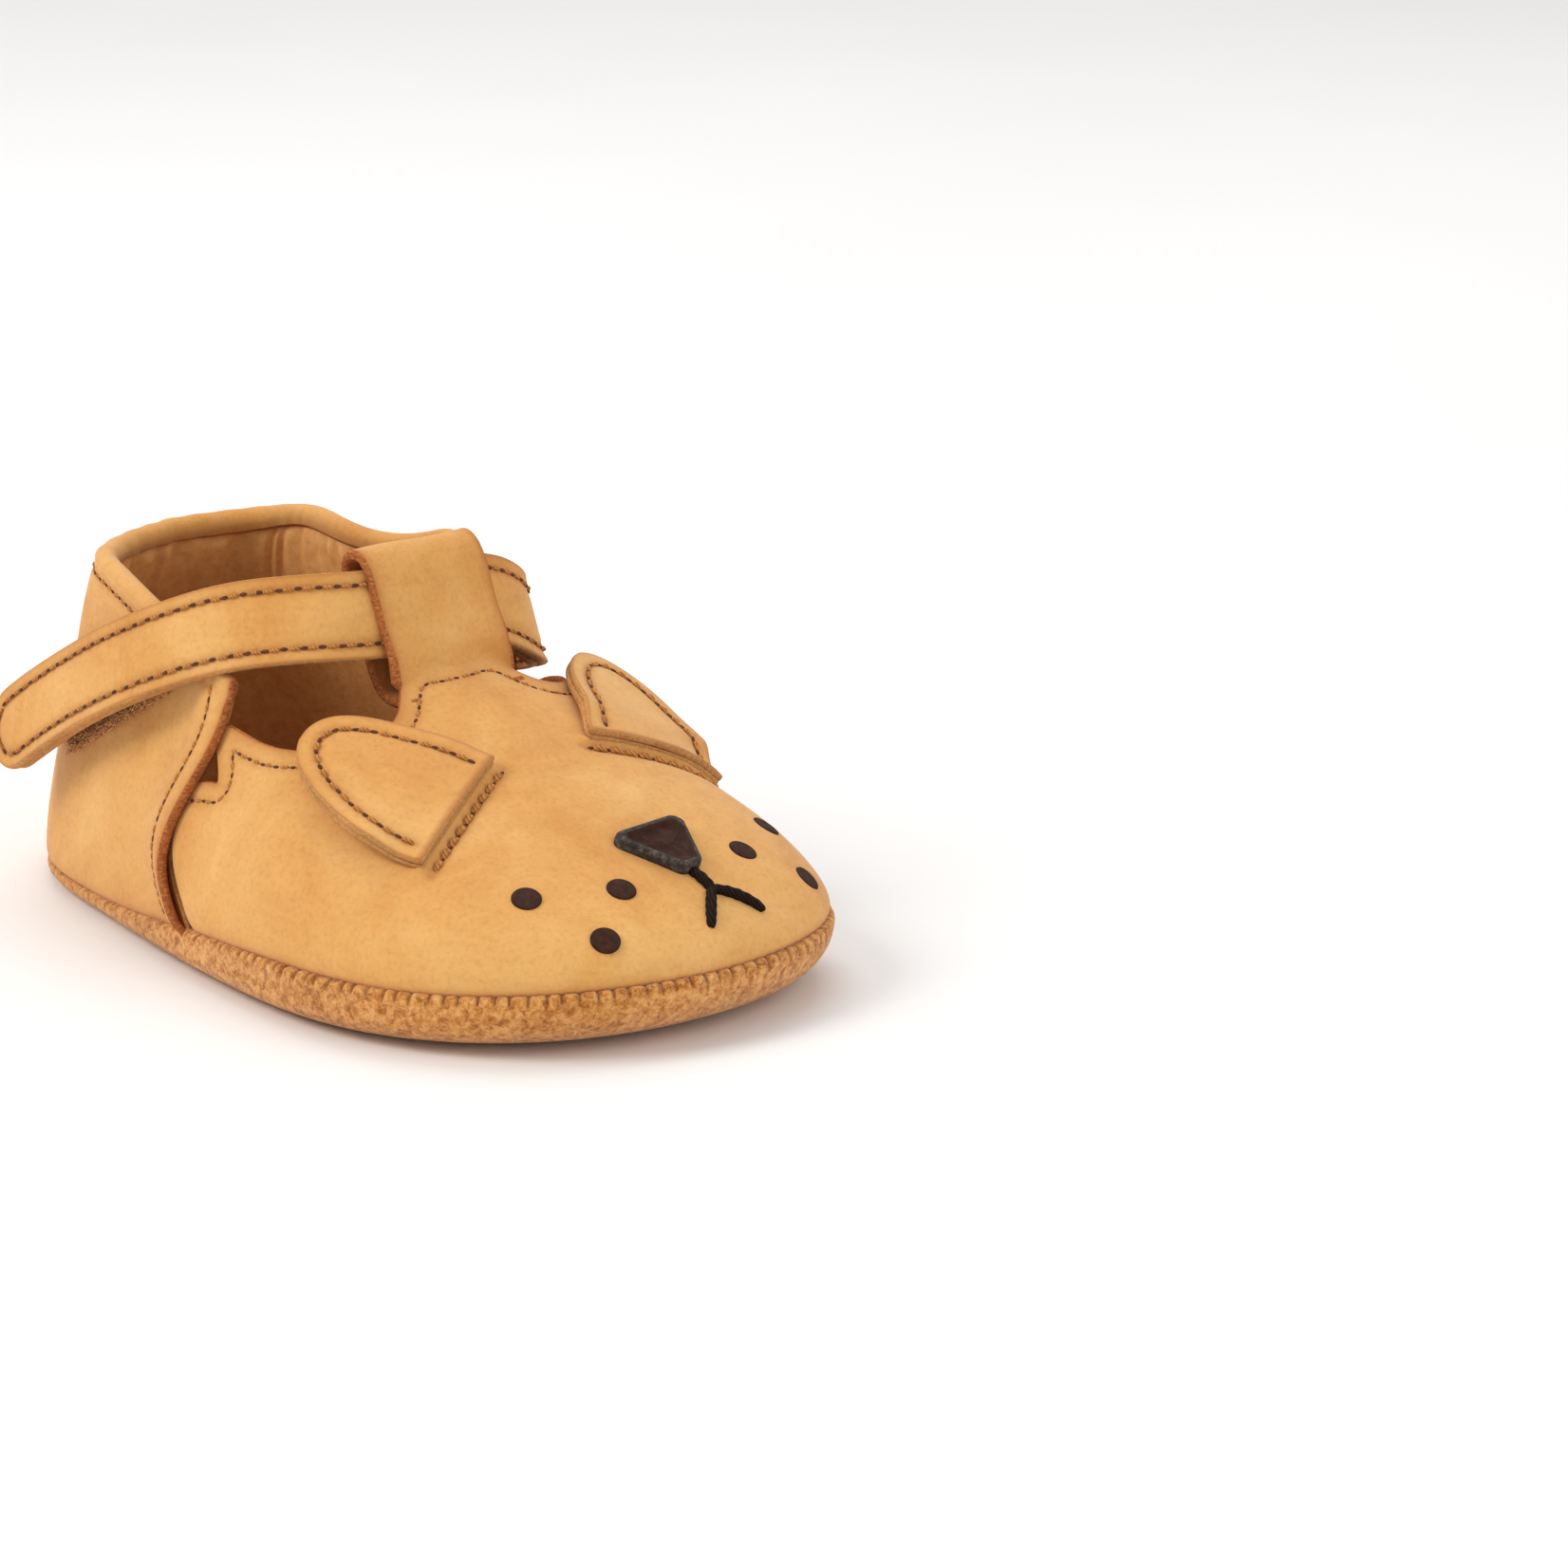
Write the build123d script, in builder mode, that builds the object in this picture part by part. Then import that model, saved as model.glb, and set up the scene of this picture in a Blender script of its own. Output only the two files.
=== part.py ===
from build123d import *
import math
import os

os.makedirs("parts", exist_ok=True)

# Baby bootie for a right foot, millimetres.
# +X points to the toe, +Y to the big-toe (medial) side, +Z up; z = 0 is the flat of the sole.

# ---- driving dimensions -------------------------------------------------------------------
sole_length = 120.0
suede = 1.4                # outsole leather
nubuck = 1.3               # upper leather
lining = 0.8               # thin lining leather
elastic = 0.6
foam = 2.4
insole_thickness = 0.8
gap = 0.05                 # room between layers that lie on each other
collar_top = 50.0          # the shoe-shaped block is taller than the collar
face_turn = 6.0            # the animal face is turned a little towards the big toe, degrees
face_start = (12.0, 1.5)   # a point of the line that the face is symmetric about

emblem_place = (-33.0, 1.0)   # plain ring pressed into the sole under the heel
emblem_diameter = 25.0
emblem_line = 0.7
emblem_depth = 0.4

strap_width = 10.4
strap_leather = 1.2
ring_wire = 1.8

# ---- shoe-shaped block ----------------------------------------------------------------------
# Sole outline: heel, medial side, toe, lateral side.
outline = [
    (-60, 1.5), (-56, 14.5), (-45, 22.5), (-30, 25.5), (-12, 25.0), (4, 26.4), (20, 30.4),
    (34, 32.4), (47, 29.5), (56.5, 19.5), (60.5, 3), (56.5, -15.5), (46, -27.5), (31, -33),
    (13, -32.6), (-8, -29), (-28, -24.4), (-44, -19.4), (-54.5, -10.5),
]

# Levels of the block: height, rearmost x, foremost x, width scale at the heel and at the toe.
levels = [
    (0.0, -57.0, 51.5, 0.90, 0.87),
    (1.4, -59.2, 56.0, 0.97, 0.95),
    (4.0, -60.2, 59.8, 1.00, 0.99),
    (8.0, -60.0, 61.0, 0.99, 1.00),
    (12.0, -59.3, 58.6, 0.97, 0.97),
    (16.0, -58.3, 52.5, 0.94, 0.91),
    (20.0, -57.2, 43.5, 0.90, 0.82),
    (24.0, -55.9, 34.0, 0.86, 0.715),
    (28.5, -54.2, 23.5, 0.82, 0.62),
    (34.0, -51.8, 11.0, 0.77, 0.58),
    (41.0, -48.4, 1.5, 0.72, 0.56),
    (collar_top, -44.5, -4.0, 0.70, 0.56),
]
block_top_shift = 1.6      # the collar opening sits towards the medial side


def level_points(level, inset):
    """Outline of the block at one level, drawn in by the inset along its normals."""
    height, back, front, heel_scale, toe_scale = level
    share_up = height / collar_top
    points = []
    for x, y in outline:
        t = (x + sole_length / 2) / sole_length
        scale = heel_scale + (toe_scale - heel_scale) * t
        points.append((back + t * (front - back), y * scale + block_top_shift * share_up))
    inner = []
    for i, (x, y) in enumerate(points):
        before = points[i - 1]
        after = points[(i + 1) % len(points)]
        along = Vector(after[0] - before[0], after[1] - before[1]).normalized()
        inner.append((x + along.Y * inset, y - along.X * inset))
    return inner


def make_block(inset, floor, lift=None):
    """The foot-shaped block, drawn in by the inset and lowered as much, or lifted, above the floor."""
    lift = -inset if lift is None else lift
    with BuildPart() as block:
        for level in levels:
            with BuildSketch(Plane.XY.offset(level[0] + lift)):
                with BuildLine():
                    Spline(*level_points(level, inset), periodic=True)
                make_face()
        loft()
        if floor > lift:
            split(bisect_by=Plane.XY.offset(floor), keep=Keep.TOP)
    return block.part


def side_cutter(profile, y_from, y_to):
    """A solid with a closed side-view (XZ) profile that reaches from y_from to y_to."""
    with BuildPart() as cutter:
        with BuildSketch(Plane.XZ.offset(-y_to)):
            with BuildLine():
                profile()
            make_face()
        extrude(amount=y_to - y_from)
    return cutter.part


# ---- seams and edges, in side view -------------------------------------------------------------
far = 90.0
sole_seam = [(-75, 1.6), (-35, 2.2), (-15, 3.4), (2, 4.6), (30, 5.6), (75, 7.3)]
quarter_front_lateral = [(2.0, -5), (1.4, 4.9), (-5.5, 12.3), (-4.3, 26.8), (-4.6, 34)]
quarter_front_medial = [(-6.0, -5), (-6.0, 4.9), (-9.0, 14.0), (-7.0, 26.8), (-4.6, 40)]
collar_lateral = [(-80, 43.4), (-47, 43.4), (-38, 42.6), (-24, 40.2), (-12, 36.6), (-4, 32.2), (20, 26)]
collar_medial = [(-80, 43.4), (-47, 43.6), (-30, 44.4), (-14, 44.6), (-5.5, 42.5), (-3.4, 38), (20, 36)]


def below_seam_profile(rise):
    def draw():
        top = [(x, z + rise) for x, z in sole_seam]
        seam = Spline(*top)
        Polyline(seam @ 1, (far, -far), (-far, -far), seam @ 0)
    return draw


def beside_profile(front, shift, side):
    def draw():
        edge = Spline(*[(x + shift, z) for x, z in front])
        Polyline(edge @ 1, (front[-1][0] + shift, far), (side * far, far), (side * far, -5), edge @ 0)
    return draw


def above_collar_profile(collar):
    def draw():
        edge = Spline(*collar)
        Polyline(edge @ 1, (20, far), (-80, far), edge @ 0)
    return draw


middle = 2.0               # the lateral and the medial edge shapes meet on this y
below_seam = side_cutter(below_seam_profile(0), -far, far)
below_upper = side_cutter(below_seam_profile(gap), -far, far)
ahead_of_quarter = [
    side_cutter(beside_profile(quarter_front_lateral, 0, 1), -far, middle),
    side_cutter(beside_profile(quarter_front_medial, 0, 1), middle, far),
]
behind_vamp = [
    side_cutter(beside_profile(quarter_front_lateral, gap, -1), -far, middle),
    side_cutter(beside_profile(quarter_front_medial, gap, -1), middle, far),
]
above_collar = [
    side_cutter(above_collar_profile(collar_lateral), -far, middle),
    side_cutter(above_collar_profile(collar_medial), middle, far),
]

# Throat opening, in plan view: a rounded bay on each side of the T-bar's base.
throat_edge = [
    (-30, -21.5), (0, -21.7), (9.5, -20.3), (15.4, -13.5), (14.2, -8.5), (10.4, -4.5), (10.2, 2.5),
    (10.2, 9.5), (13.2, 12.8), (13.6, 16.5), (8, 21.6), (-2, 22.8), (-30, 22.6),
]


def make_throat(grow):
    """Everything inside the throat's edge, as one vertical prism."""
    with BuildPart() as throat:
        with BuildSketch(Plane.XY.offset(12)):
            with BuildLine():
                edge = Spline(*throat_edge)
                Line(edge @ 1, edge @ 0)
            make_face()
            if grow:
                offset(amount=grow)
        extrude(amount=far)
    return throat.part


block_outer = make_block(0, 0)
upper_floor = suede + gap

# ---- sole ------------------------------------------------------------------------------------
with BuildPart() as outsole:
    add(block_outer)
    add(make_block(suede, suede, suede), mode=Mode.SUBTRACT)
    add(below_seam, mode=Mode.INTERSECT)
    with BuildSketch(Plane.XY):
        with Locations(emblem_place):
            Circle(emblem_diameter / 2)
            Circle(emblem_diameter / 2 - emblem_line, mode=Mode.SUBTRACT)
    extrude(amount=emblem_depth, mode=Mode.SUBTRACT)

bottom_inset = nubuck + elastic + lining + 4 * gap
with BuildPart() as midsole_foam:
    add(make_block(bottom_inset, upper_floor, suede))
    split(bisect_by=Plane.XY.offset(upper_floor + foam), keep=Keep.BOTTOM)

insole_floor = upper_floor + foam + gap
with BuildPart() as insole:
    add(make_block(bottom_inset + 0.3, insole_floor, suede))
    split(bisect_by=Plane.XY.offset(insole_floor + insole_thickness), keep=Keep.BOTTOM)

# ---- T-bar: the vamp's tongue goes over the strap and is sewn back down behind it --------------
bar_centre = (5.2, 2.8, 41.0)
bar_up = (-0.33, 0, 0.944)
bar_width = 17.0
strap_half = strap_leather + gap / 2
cavity_half = strap_half + 0.35
cavity_reach = strap_width / 2 + 1.0
bar_plane = Plane(origin=bar_centre, x_dir=bar_up, z_dir=(0, 1, 0))
with BuildPart() as t_bar:
    with BuildSketch(bar_plane) as bar_profile:
        with Locations((-0.7, 0)):
            RectangleRounded(2 * cavity_reach + 4.0, 2 * (cavity_half + nubuck), 2.2)
        RectangleRounded(2 * cavity_reach, 2 * cavity_half, 1.2, mode=Mode.SUBTRACT)
    extrude(amount=bar_width / 2, both=True)

# ---- upper ----------------------------------------------------------------------------------------
inner_floor = 1.0          # the upper starts above this height
with BuildPart() as vamp:
    add(block_outer)
    add(make_block(nubuck, inner_floor), mode=Mode.SUBTRACT)
    add([below_upper, make_throat(0)] + behind_vamp, mode=Mode.SUBTRACT)
    add(t_bar.part)

with BuildPart() as heel_quarter:
    add(block_outer)
    add(make_block(nubuck, inner_floor), mode=Mode.SUBTRACT)
    add([below_upper] + ahead_of_quarter + above_collar, mode=Mode.SUBTRACT)

with BuildPart() as vamp_lining:
    add(make_block(nubuck + gap, 0))
    add(make_block(nubuck + gap + lining, inner_floor), mode=Mode.SUBTRACT)
    add([below_upper, make_throat(0)] + behind_vamp, mode=Mode.SUBTRACT)
    with Locations((bar_centre[0] + 3, bar_centre[1], bar_centre[2] - 8)):
        Box(9, bar_width + 0.4, 20, mode=Mode.SUBTRACT)

elastic_inset = nubuck + gap
with BuildPart() as collar_elastic:
    add(make_block(elastic_inset, inner_floor))
    add(make_block(elastic_inset + elastic, 0), mode=Mode.SUBTRACT)
    with Locations((-50, 0, 38)):
        Box(44, 80, 5, mode=Mode.INTERSECT)

lining_inset = elastic_inset + elastic + gap
with BuildPart() as quarter_lining:
    add(make_block(lining_inset, 0))
    add(make_block(lining_inset + lining, inner_floor), mode=Mode.SUBTRACT)
    add([below_upper] + ahead_of_quarter + above_collar, mode=Mode.SUBTRACT)

# ---- ring on the medial quarter, in a leather tab ------------------------------------------------
# The wall plane lies against the medial quarter: x along the strap to the front, y down, z outwards.
wall = Plane(origin=(-18, 21.0, 27.0), x_dir=(0.94, -0.095, 0.325), z_dir=(0, 0.96, 0.28))
across = Plane(origin=wall.origin, x_dir=wall.x_dir, z_dir=-wall.y_dir)   # profile plane: x, outwards
ring_height = 3.6          # the ring's wire above the wall plane
ring_half = 3.2            # half the distance between the rear bar and the front bar
ring_length = 15.4
ring_corner = 2.6
with BuildPart() as ring:
    with BuildLine(wall.offset(ring_height)) as ring_path:
        FilletPolyline(
            (-ring_half, -ring_length / 2), (ring_half, -ring_length / 2),
            (ring_half, ring_length / 2), (-ring_half, ring_length / 2), radius=ring_corner, close=True,
        )
    with BuildSketch(Plane(origin=ring_path.wire() @ 0, z_dir=ring_path.wire() % 0)):
        Circle(ring_wire / 2)
    sweep(path=ring_path.wire())

tab_leather = 1.2
tab_inner = ring_wire / 2 + 0.3
with BuildPart() as ring_tab:
    with BuildSketch(across):
        with Locations((-ring_half, ring_height)):
            Circle(tab_inner + tab_leather)
        with Locations((-14, 2.35)):
            Rectangle(11, 2.5)
        make_hull()
        with BuildSketch(across, mode=Mode.SUBTRACT):
            with Locations((-ring_half, ring_height)):
                Circle(tab_inner)
            with Locations((-7.6, 2.4)):
                Circle(0.3)
            make_hull()
    extrude(amount=strap_width / 2, both=True)

loop_inner = ring_wire / 2 + 0.95
loop_end = 11.0
band_height = 4.1          # the strap's middle above the wall plane, in front of the ring
with BuildPart() as strap_ring_loop:
    with BuildSketch(across):
        with Locations((ring_half, ring_height)):
            Circle(loop_inner + strap_leather)
        with Locations((loop_end - 0.5, band_height)):
            Rectangle(1, 2.5)
        make_hull()
        with BuildSketch(across, mode=Mode.SUBTRACT):
            with Locations((ring_half, ring_height)):
                Circle(loop_inner)
            with Locations((8.0, band_height)):
                Circle(0.3)
            make_hull()
    extrude(amount=strap_width / 2, both=True)

# ---- strap: two leather layers, from the ring through the T-bar to the lateral side --------------
band_start = wall.from_local_coords((loop_end + 0.3, 0, band_height))
# Each station: centre of the strap, and the direction its outer face looks to.
band_stations = [
    (tuple(band_start), (0, 0.96, 0.28)),
    ((-3.4, 23.9, 33.0), (0.2, 0.93, 0.3)),
    ((1.2, 21.9, 34.9), (0.7, 0.62, 0.35)),
    ((4.3, 17.0, 38.3), (0.9, 0.25, 0.35)),
    ((5.2, 11.8, 40.5), (0.944, 0, 0.33)),
    ((5.2, 2.8, 41.0), (0.944, 0, 0.33)),
    ((5.15, -6.0, 41.2), (0.944, 0, 0.33)),
]
end_stations = [
    ((5.15, -6.4, 41.2), (0.944, 0, 0.33)),
    ((2.4, -12.4, 41.3), (0.72, -0.55, 0.4)),
    ((-4.5, -18.5, 40.0), (0.35, -0.87, 0.36)),
    ((-13.5, -22.8, 36.5), (0.05, -0.95, 0.3)),
    ((-23.5, -23.9, 31.9), (-0.1, -0.95, 0.26)),
    ((-33.0, -23.6, 27.0), (-0.14, -0.95, 0.25)),
    ((-41.0, -23.6, 22.2), (-0.1, -0.95, 0.25)),
    ((-46.6, -24.0, 18.4), (-0.1, -0.95, 0.25)),
]
strap_steps = 4            # straight facets between two stations


def strap_frames(stations, tangents):
    """Points, directions and outward directions along the strap's smooth middle line."""
    points = [Vector(*point) for point, _ in stations]
    facings = [Vector(*facing) for _, facing in stations]
    line = Edge.make_spline(points, tangents=tangents)
    stops = [line.param_at_point(point) for point in points]
    frames = []
    for i in range(len(points) - 1):
        for step in range(strap_steps + (i == len(points) - 2)):
            share = step / strap_steps
            at = stops[i] + (stops[i + 1] - stops[i]) * share
            along = line.tangent_at(at)
            facing = facings[i] * (1 - share) + facings[i + 1] * share
            outward = (facing - along * facing.dot(along)).normalized()
            frames.append((line.position_at(at), along, outward))
    return frames


def strap_layer(frames, level, thickness, width=strap_width, tip=0):
    """One leather layer of the strap; the level is its middle, outwards from the strap's centre.

    The last frames of a strap with a tip get narrower, as a half circle.
    """
    with BuildPart() as layer:
        for i, (point, along, outward) in enumerate(frames):
            left = len(frames) - 1 - i
            share = math.sqrt(1 - 0.9 * ((tip - left) / tip) ** 2) if left < tip else 1.0
            station = Plane(origin=point + outward * level, x_dir=along.cross(outward), z_dir=along)
            with BuildSketch(station):
                Rectangle(width * share, thickness)
        loft(ruled=True)
    return layer.part


straight = Vector(0, -1, 0)
band_frames = strap_frames(band_stations, [wall.x_dir, straight])
end_frames = strap_frames(end_stations, [straight, Vector(-0.82, -0.09, -0.56)])
layer_level = (strap_leather + gap) / 2
tip_steps = 4
with BuildPart() as strap_band:
    add(strap_layer(band_frames, layer_level, strap_leather))
with BuildPart() as strap_band_lining:
    add(strap_layer(band_frames, -layer_level, strap_leather))
with BuildPart() as strap_end:
    add(strap_layer(end_frames, layer_level, strap_leather, tip=tip_steps))
with BuildPart() as strap_end_lining:
    add(strap_layer(end_frames, -layer_level, strap_leather, tip=tip_steps))

# Hook-and-loop: hooks under the strap's end, a fuzzy patch on the lateral quarter.
hook_thickness = 0.9
hook_level = -(strap_leather + 2 * gap + hook_thickness / 2)
with BuildPart() as hook_patch:
    add(strap_layer(end_frames[-13:-3], hook_level, hook_thickness, width=9.0))
patch_plane = Plane(origin=(-27, -20.25, 27.5), x_dir=(-0.87, 0.07, -0.488), z_dir=(-0.21, -0.95, 0.238))
with BuildPart() as loop_patch:
    with BuildSketch(patch_plane):
        RectangleRounded(24, 12, 2)
    extrude(amount=0.9)

# ---- ears ---------------------------------------------------------------------------------------
ear_leather = 1.1
ear_stand_off = 0.9        # the base line is a chord, so the ear clears the domed vamp
ear_shape = [(-0.2, 0), (0, 9.4), (0.8, 15.2), (3.4, 19.2), (7.6, 20.2), (12.6, 17.6), (17, 11.6), (19.7, 5.1), (20, 0)]
ear_lean = {"lateral": 0, "medial": 0.2}   # the ear's tip leans down the base line, per mm of height
# Top end and low end of each base line, and the tip that the ear points to.
ear_lines = {
    "lateral": ((26.6, -5.6, 27.4), (34.3, -22.3, 19.6), (9, -20.3, 29.5)),
    "medial": ((25.6, 11.4, 27.8), (27.6, 27.2, 20.0), (10.5, 24, 28.5)),
}


def ear_plane(side):
    """Plane of an ear: x down its base line, y to its tip, z outwards on the lateral ear."""
    top, low, tip = [Vector(*point) for point in ear_lines[side]]
    along = (low - top).normalized()
    to_tip = tip - top
    rise = (to_tip - along * to_tip.dot(along)).normalized()
    return Plane(origin=top, x_dir=along, z_dir=along.cross(rise))


def ear_layer(side, level):
    """One leather layer of an ear, its underside at the level above the base line's plane."""
    plane = ear_plane(side)
    outward = 1 if plane.z_dir.Z > 0 else -1
    with BuildPart() as layer:
        with BuildSketch(plane.offset(outward * level)) as flat:
            with BuildLine():
                edge = Spline(*[(x + ear_lean[side] * y, y) for x, y in ear_shape])
                Line(edge @ 1, edge @ 0)
            make_face()
        extrude(amount=outward * ear_leather)
    return layer.part


ear_parts = {}
for side in ear_lines:
    with BuildPart() as ear_back:
        add(ear_layer(side, ear_stand_off))
    with BuildPart() as ear_front:
        add(ear_layer(side, ear_stand_off + ear_leather + gap))
    ear_parts["ear_" + side + "_back"] = ear_back.part
    ear_parts["ear_" + side + "_front"] = ear_front.part

# ---- face -----------------------------------------------------------------------------------------
turn = math.radians(face_turn)


def face_point(along, side):
    """Plan position from a distance along the face's line and a distance to its medial side."""
    x = face_start[0] + along * math.cos(turn) - side * math.sin(turn)
    y = face_start[1] + along * math.sin(turn) + side * math.cos(turn)
    return x, y


def vamp_plane(along, side, sink=0.0):
    """Plane that touches the vamp's outside at a place of the face, lifted off it by the gap."""
    x, y = face_point(along, side)
    point, normal = block_outer.find_intersection_points(Axis((x, y, far), (0, 0, -1)))[0]
    if normal.Z < 0:
        normal = -normal
    forward = Vector(math.cos(turn), math.sin(turn), 0)
    x_dir = (forward - normal * forward.dot(normal)).normalized()
    return Plane(origin=point + normal * (gap - sink), x_dir=x_dir, z_dir=normal)


nose_thickness = 1.3
nose_lift = 0.25
with BuildPart() as nose:
    with BuildSketch(vamp_plane(34.6, 0.0).offset(nose_lift)) as nose_flat:
        with BuildLine():
            Polyline((-3.9, -6.0), (-3.9, 6.0), (4.6, 0.9), (4.6, -0.9), close=True)
        make_face()
        fillet(nose_flat.vertices(), 0.85)
    extrude(amount=nose_thickness)

spot_thickness = 0.35
spot_diameter = 3.5
spot_places = [(32.2, 20.5), (37.6, 10.4), (41.6, 17.3)]
with BuildPart() as spots:
    for along, side in spot_places:
        for sign in (-1, 1):
            with BuildSketch(vamp_plane(along, sign * side)):
                Circle(spot_diameter / 2)
            extrude(amount=spot_thickness)

thread = 0.9
mouth_strokes = [((39.6, 0.0), (41.8, 0.0)), ((43.0, -0.9), (46.0, -4.3)), ((43.0, 0.9), (46.0, 4.3))]
with BuildPart() as mouth_embroidery:
    for start, finish in mouth_strokes:
        first = vamp_plane(*start).origin
        last = vamp_plane(*finish).origin
        lift = vamp_plane(*start).z_dir * (thread / 2 + 0.15)
        with BuildLine() as stroke:
            Line(first + lift, last + lift)
        with BuildSketch(Plane(origin=first + lift, z_dir=last - first)):
            Circle(thread / 2)
        sweep(path=stroke.wire())

# ---- write the pieces -------------------------------------------------------------------------------
pieces = {
    "outsole": outsole.part,
    "midsole_foam": midsole_foam.part,
    "insole": insole.part,
    "vamp": vamp.part,
    "vamp_lining": vamp_lining.part,
    "heel_quarter": heel_quarter.part,
    "quarter_lining": quarter_lining.part,
    "collar_elastic": collar_elastic.part,
    "ring": ring.part,
    "ring_tab": ring_tab.part,
    "strap_ring_loop": strap_ring_loop.part,
    "strap_band": strap_band.part,
    "strap_band_lining": strap_band_lining.part,
    "strap_end": strap_end.part,
    "strap_end_lining": strap_end_lining.part,
    "hook_patch": hook_patch.part,
    "loop_patch": loop_patch.part,
    "nose": nose.part,
    "mouth_embroidery": mouth_embroidery.part,
    "spots": spots.part,
}
pieces.update(ear_parts)
for name, piece in pieces.items():
    piece.label = name
    export_step(piece, "parts/" + name + ".step")
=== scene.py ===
import math

import bmesh
import bpy
import numpy as np
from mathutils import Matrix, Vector
from mathutils.bvhtree import BVHTree
from mathutils.kdtree import KDTree


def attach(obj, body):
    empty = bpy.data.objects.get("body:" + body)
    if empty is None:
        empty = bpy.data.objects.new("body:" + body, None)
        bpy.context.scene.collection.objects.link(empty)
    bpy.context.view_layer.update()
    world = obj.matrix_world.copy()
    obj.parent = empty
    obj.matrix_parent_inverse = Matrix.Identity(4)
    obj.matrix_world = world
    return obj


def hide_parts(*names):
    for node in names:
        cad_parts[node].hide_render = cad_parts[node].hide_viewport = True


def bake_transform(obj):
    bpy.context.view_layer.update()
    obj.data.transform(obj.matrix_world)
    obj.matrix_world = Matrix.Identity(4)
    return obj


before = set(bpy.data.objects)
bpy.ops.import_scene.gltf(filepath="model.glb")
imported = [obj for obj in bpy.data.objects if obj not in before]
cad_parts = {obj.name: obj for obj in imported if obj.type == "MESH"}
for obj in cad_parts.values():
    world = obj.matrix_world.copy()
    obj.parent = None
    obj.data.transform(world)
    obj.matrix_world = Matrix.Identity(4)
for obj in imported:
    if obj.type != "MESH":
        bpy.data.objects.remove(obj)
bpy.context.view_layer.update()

# A baby bootie in soft nubuck. Shapes are worked out in millimetres, in the CAD frame, and a mesh is
# brought to metres when it is made. +X points to the toe, +Y to the medial side, +Z up.
MM = 0.001
RNG = np.random.default_rng(7)

# ---- the CAD model's driving shape ---------------------------------------------------------------------
NUBUCK, LINING, SUEDE = 1.3, 0.8, 1.4
COLLAR_TOP = 50.0
BLOCK_TOP_SHIFT = 1.6
SIDE_SPLIT = 2.0           # the lateral and the medial edge shapes meet on this y
OUTLINE = [
    (-60, 1.5), (-56, 14.5), (-45, 22.5), (-30, 25.5), (-12, 25.0), (4, 26.4), (20, 30.4),
    (34, 32.4), (47, 29.5), (56.5, 19.5), (60.5, 3), (56.5, -15.5), (46, -27.5), (31, -33),
    (13, -32.6), (-8, -29), (-28, -24.4), (-44, -19.4), (-54.5, -10.5),
]
LEVELS = [
    (0.0, -57.0, 51.5, 0.90, 0.87),
    (1.4, -59.2, 56.0, 0.97, 0.95),
    (4.0, -60.2, 59.8, 1.00, 0.99),
    (8.0, -60.0, 61.0, 0.99, 1.00),
    (12.0, -59.3, 58.6, 0.97, 0.97),
    (16.0, -58.3, 52.5, 0.94, 0.91),
    (20.0, -57.2, 43.5, 0.90, 0.82),
    (24.0, -55.9, 34.0, 0.86, 0.715),
    (28.5, -54.2, 23.5, 0.82, 0.62),
    (34.0, -51.8, 11.0, 0.77, 0.58),
    (41.0, -48.4, 1.5, 0.72, 0.56),
    (COLLAR_TOP, -44.5, -4.0, 0.70, 0.56),
]
SOLE_SEAM = [(-75, 1.6), (-35, 2.2), (-15, 3.4), (2, 4.6), (30, 5.6), (75, 7.3)]
QUARTER_FRONT = {
    "lateral": [(2.0, -5), (1.4, 4.9), (-5.5, 12.3), (-4.3, 26.8), (-4.6, 34)],
    "medial": [(-6.0, -5), (-6.0, 4.9), (-9.0, 14.0), (-7.0, 26.8), (-4.6, 40)],
}
COLLAR = {
    "lateral": [(-80, 43.4), (-47, 43.4), (-38, 42.6), (-24, 40.2), (-12, 37.0), (-4, 34.4), (20, 30.5)],
    "medial": [(-80, 43.4), (-47, 43.6), (-30, 44.4), (-14, 44.6), (-5.5, 42.5), (-3.4, 38), (20, 36)],
}
THROAT_EDGE = [
    (-30, -21.5), (0, -21.7), (9.5, -20.3), (15.4, -13.5), (14.2, -8.5), (10.4, -4.5), (10.2, 2.5),
    (10.2, 9.5), (13.2, 12.8), (13.6, 16.5), (8, 21.6), (-2, 22.8), (-30, 22.6),
]


# ---- small geometry helpers ----------------------------------------------------------------------------
def unit(v):
    return v / np.maximum(np.linalg.norm(v, axis=-1, keepdims=True), 1e-9)


def ease(t):
    """0 before 0, 1 after 1, and a smooth step between."""
    t = np.clip(t, 0, 1)
    return t * t * (3 - 2 * t)


def lengths(line):
    """Distance along a line to each of its points."""
    return np.concatenate([[0], np.cumsum(np.linalg.norm(np.diff(line, axis=0), axis=1))])


def angles_round(count):
    """Evenly spaced angles of a full turn."""
    return np.linspace(0, 2 * math.pi, count, endpoint=False)


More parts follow.
